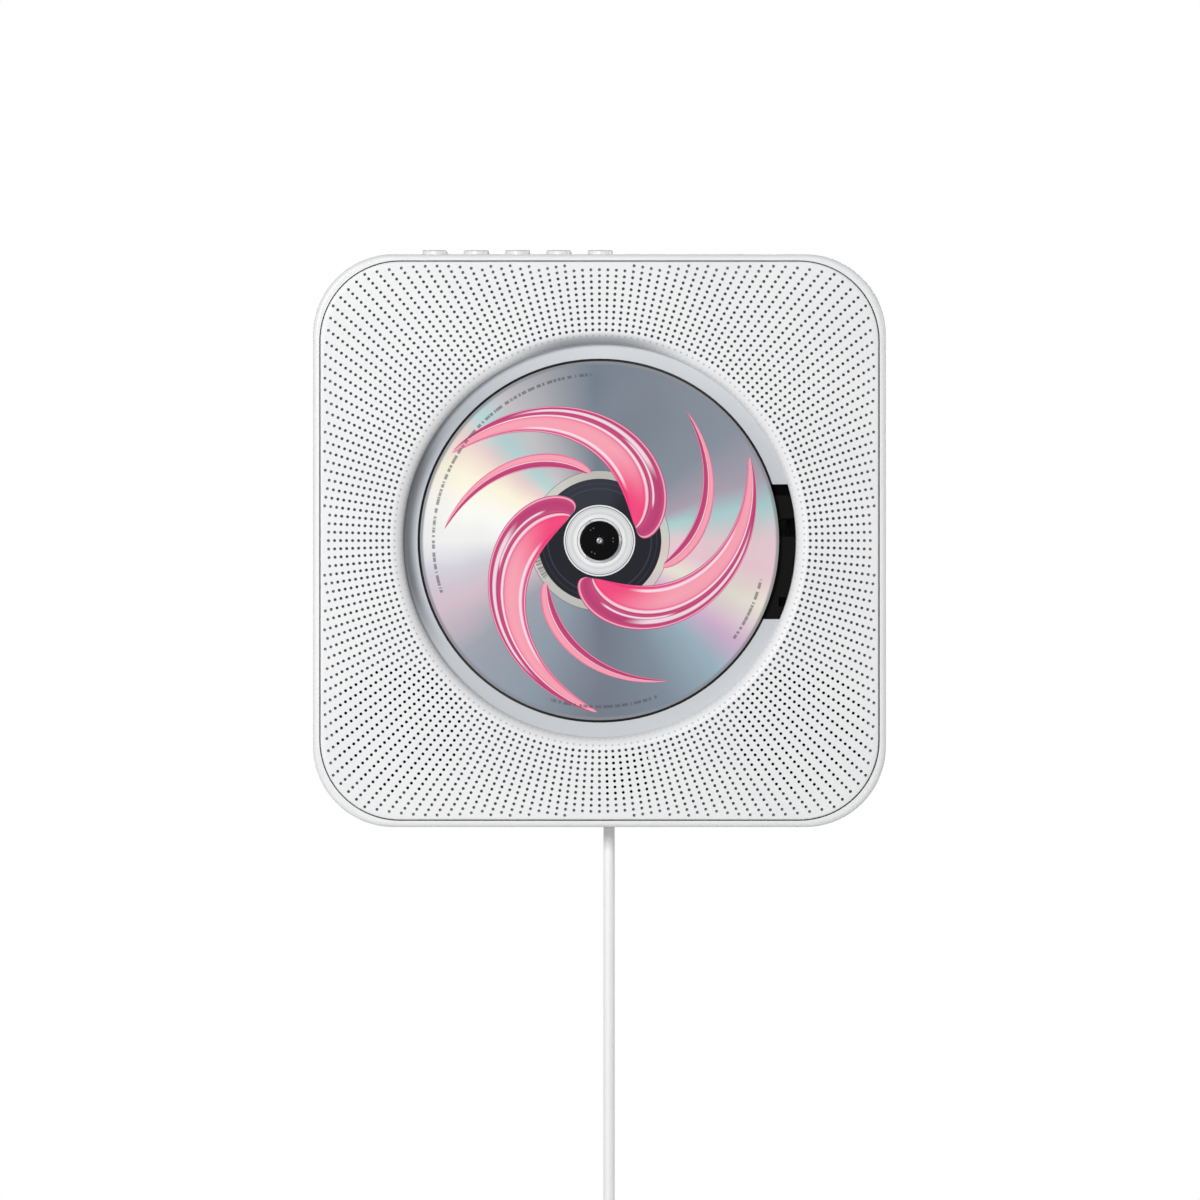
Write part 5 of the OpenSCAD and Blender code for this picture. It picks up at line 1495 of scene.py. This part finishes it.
# %% [markdown]
# ## The well
#
# The ledge round the disc is painted a cool grey, with light and shade painted in broad
# sectors round the angle: palest at the top. A painted shadow lies in a deep band on the
# left and fades towards the disc. One ramp over the angle and one band give them. Below the
# ledge, where the disc sinks in, the wall of the pocket is painted black as shade, which
# draws the fine line round the disc.


# %% Well plastic
def well_plastic():
    f = Finish("well_plastic")
    x, y, z = f.drawing()
    radius, _, turn = polar(x, y)
    # The ledge's grey changes by angle as painted light and shade, palest at the top.
    ledge_painted_light = f.ramp(turn, [
        (0.000, (0.46, 0.48, 0.51)), (0.060, (0.50, 0.52, 0.55)), (0.125, (0.56, 0.58, 0.61)),
        (0.200, (0.62, 0.64, 0.66)), (0.250, (0.66, 0.68, 0.70)), (0.310, (0.56, 0.585, 0.61)),
        (0.375, (0.42, 0.445, 0.48)), (0.440, (0.50, 0.53, 0.58)), (0.500, (0.58, 0.61, 0.66)),
        (0.560, (0.56, 0.59, 0.63)), (0.625, (0.52, 0.545, 0.57)), (0.750, (0.57, 0.59, 0.61)),
        (0.875, (0.58, 0.60, 0.62)), (1.000, (0.46, 0.48, 0.51)),
    ])
    ledge_painted_light = f.mix(f.noise(30.0) * 0.15, ledge_painted_light, (0.72, 0.74, 0.76))
    # A painted shadow: a deep band on the left of the ledge, fading towards the disc.
    shadow_band = radius.rise(60.3, 63.9) * (1 - radius.rise(64.2, 65.4) * 0.5)
    left_painted_shadow = turn.band(0.489, 0.04, 0.085) * shadow_band
    ledge_painted_light = f.mix(left_painted_shadow * 0.94, ledge_painted_light, (0.075, 0.085, 0.10))
    # The pocket's wall below the ledge is painted black as shade, drawing the line round the disc.
    pocket_painted_shade = z.rise(LEDGE_Z - 0.1, LEDGE_Z - 0.3) * radius.rise(59.0, 59.6)
    colour = f.mix(pocket_painted_shade, ledge_painted_light, (0.006, 0.006, 0.007))
    return f.grained(colour, 0.36, depth_mm=0.005, spread=0.1)


# %% Deck, with its two recesses and pickup window painted dark as shade
def deck_black():
    f = Finish("deck_black")
    x, y, z = f.drawing()
    # Painted shade: faces below the deck's top and the pickup window are near black.
    sunk = z.rise(36.1, 35.9)
    window_shade = x.rise(55.0, 55.2) * y.band(4.4, 3.0, 0.05)
    colour = f.mix(sunk.most(window_shade), (0.0075, 0.0075, 0.007), (0.0003, 0.0003, 0.0003))
    return f.grained(colour, 0.6, size_mm=0.3, depth_mm=0.01, spread=0.1, Specular_IOR_Level=0.03)


# %% Lens glass
def lens_glass():
    f = Finish("lens_glass")
    tint = f.noise(2.0)
    return f.surface(
        Base_Color=f.mix(tint, (0.10, 0.16, 0.42), (0.22, 0.30, 0.60)),
        Roughness=0.04 + tint * 0.03,
        Coat_Weight=1.0,
    )


# %% [markdown]
# ## The frame's finish
#
# The frame is the same white plastic. The narrow gap between it and the panel is in shade,
# and the eye reads it as one grey line. So the wall of the opening is painted grey as that
# shade, just below the rim. A rounded square's distance tells where that wall is.


# %% Frame plastic
def frame_plastic():
    f = Finish("frame_plastic")
    x, y, z = f.drawing()
    straight = PANEL_HALF - PANEL_CORNER
    off_x, off_y = (abs(x) - straight).most(0.0), (abs(y) - straight).most(0.0)
    reach = (off_x * off_x + off_y * off_y).root()
    # Painted shade: the wall of the opening just below the rim is grey.
    gap = reach.rise(PANEL_CORNER + 0.5, PANEL_CORNER + 0.35) * z.rise(RIM_Z - 0.15, RIM_Z - 0.35)
    plain = f.mottled((0.845, 0.845, 0.847), (0.87, 0.87, 0.872))
    return f.grained(f.mix(gap * z.rise(PANEL_Z - 0.5, PANEL_Z), plain, (0.23, 0.235, 0.24)), 0.42)


# %% [markdown]
# ## A finish for every other solid
#
# The rest of the solids have the right shape already. Each one takes its finish from this
# list, and the loop stops if one was forgotten.

# %% Finishes by solid
finish_of = {
    white_shell: ["cord_bushing"],
    frame_plastic(): ["side_frame"],
    well_plastic(): ["disc_well"],
    deck_black(): ["deck_frame"],
    black_shell: ["pickup_body", "lens_holder", "limit_switch", "speaker_baskets", "board_parts",
                  "key_switches", "aux_jack", "headphone_jack", "power_switch"],
    black_gloss: ["ir_receiver", "ir_window"],
    ivory_resin: ["drive_gear", "motor_pinion", "switch_housing", "switch_lid", "deck_ribbon"],
    red_slider: ["pull_slider"],
    zinc_steel: ["small_screws", "spindle_motor", "sled_motor", "data_socket"],
    ground_steel: ["guide_rods", "gear_pin"],
    ball_steel: ["ball_1", "ball_2", "ball_3"],
    magnet_grey: ["speaker_magnets"],
    black_rubber: ["bumper_pads", "deck_dampers"],
    pale_rubber: ["turntable_mat"],
    red_lead: ["speaker_leads"],
    pressed_paper: ["left_cone", "right_cone"],
    board_green: ["main_board", "key_board"],
    speaker_cloth: ["speaker_cloths"],
    lens_glass(): ["lens"],
}
dressed = set()
for material, names in finish_of.items():
    for name in names:
        mesh = nodes[name].data
        mesh.materials.clear()
        mesh.materials.append(material)
        dressed.add(name)
replaced = {n for piece in bpy.data.objects for n in piece.get("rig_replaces", [])}
forgotten = set(nodes) - dressed - replaced
if forgotten:
    raise SystemExit(f"no finish for {sorted(forgotten)}")
print(len(dressed), "solids dressed,", len(replaced), "replaced by finer pieces")

# %% [markdown]
# ## Light and background
#
# The photograph is a cut out on pure white, lit from the upper left by something large and
# soft: the shoulder's top and left are in shade and its lower right is bright. One big
# lamp gives that, and the sky fills in. The background is white through Is Camera Ray, so
# it adds no light of its own, and gloss and glass see the same white.


# %% World
def seen_directly(f):
    """1 for rays from the camera and for those that gloss and glass send out."""
    path = f.node("ShaderNodeLightPath")
    return path["Is Camera Ray"].most(path["Is Glossy Ray"]).most(path["Is Transmission Ray"])


SKY, WHITE = 0.24, (1.0, 1.0, 1.0)
studio = Finish("studio", bpy.data.worlds.new("studio"))
bpy.context.scene.world = studio.material
fill = studio.node("ShaderNodeBackground", None, {"Color": (0.95, 0.965, 1.0), "Strength": SKY})
white = studio.node("ShaderNodeBackground", None, {"Color": WHITE, "Strength": 1.0})
chosen = studio.node("ShaderNodeMixShader", None,
                     {0: seen_directly(studio), 1: fill["Background"], 2: white["Background"]})
studio.node("ShaderNodeOutputWorld", None, {"Surface": chosen["Shader"]})
print("the sky fills in at", SKY)


# %% Lamps
def lamp(name, place, aim, size, watts):
    data = bpy.data.lights.new(name, "AREA")
    data.shape = "DISK"
    data.size = size
    data.energy = watts
    light = bpy.data.objects.new(name, data)
    light.location = place
    light.rotation_mode = "QUATERNION"
    light.rotation_quaternion = (place - aim).to_track_quat("Z", "Y")
    bpy.context.scene.collection.objects.link(light)


# The shade on the shoulder's top and the ledge's left is partly painted into their colours.
middle = at(0, 0, 30)
lamp("front", middle + Vector((-0.66, -1.74, 0.40)), middle, 0.62, 23.3)
lamp("behind", middle + Vector((0.25, 1.75, 0.40)), middle, 0.9, 17.0)
lamp("right", middle + Vector((1.85, 0.30, 0.35)), middle, 0.6, 7.0)
print("one soft lamp from the front, a little to the upper left, one behind and a weak one on the right")

# %% [markdown]
# ## Floor
#
# A pale floor lies well below the hanging coil. The camera doesn't see it from the front,
# but it closes the room when the player is looked at from above. Its colour is pale, and to
# the camera it is mostly white light, more so towards its edges, so that it runs into the
# white sky without a line and still keeps the player's shadow.

# %% Floor
FLOOR_Z, FLOOR_HALF = -0.385, 3.0


def pale_floor():
    f = Finish("pale_floor")
    x, _, z = f.drawing()
    away = (x * x + z * z).root() / 1000
    mottle = f.noise(300.0)
    bounced = f.mix(mottle, (0.60, 0.60, 0.60), (0.64, 0.64, 0.64))
    matt = f.node("ShaderNodeBsdfPrincipled", None, {
        "Base Color": f.mix(seen_directly(f), bounced, (0.97, 0.97, 0.97)), "Roughness": 0.8})
    glow = f.node("ShaderNodeEmission", None, {"Color": WHITE, "Strength": 1.0})
    share = 0.74 + away.rise(0.5, FLOOR_HALF - 0.3) * 0.26
    parts = {0: seen_directly(f) * share, 1: matt["BSDF"], 2: glow["Emission"]}
    whole = f.node("ShaderNodeMixShader", None, parts)
    f.node("ShaderNodeOutputMaterial", None, {"Surface": whole["Shader"]})
    return f.material


mesh = bpy.data.meshes.new("floor")
ends = ((-1, -1), (1, -1), (1, 1), (-1, 1))
mesh.from_pydata([(i * FLOOR_HALF, j * FLOOR_HALF, FLOOR_Z) for i, j in ends], [], [(0, 1, 2, 3)])
mesh.materials.append(pale_floor())
floor = bpy.data.objects.new("floor", mesh)
bpy.context.scene.collection.objects.link(floor)
floor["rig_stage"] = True
print("floor", FLOOR_Z, "m")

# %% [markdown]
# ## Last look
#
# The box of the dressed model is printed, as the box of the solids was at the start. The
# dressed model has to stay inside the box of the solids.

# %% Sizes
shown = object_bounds()
print("shown", [round(v, 4) for v in shown[0]], [round(v, 4) for v in shown[1]])
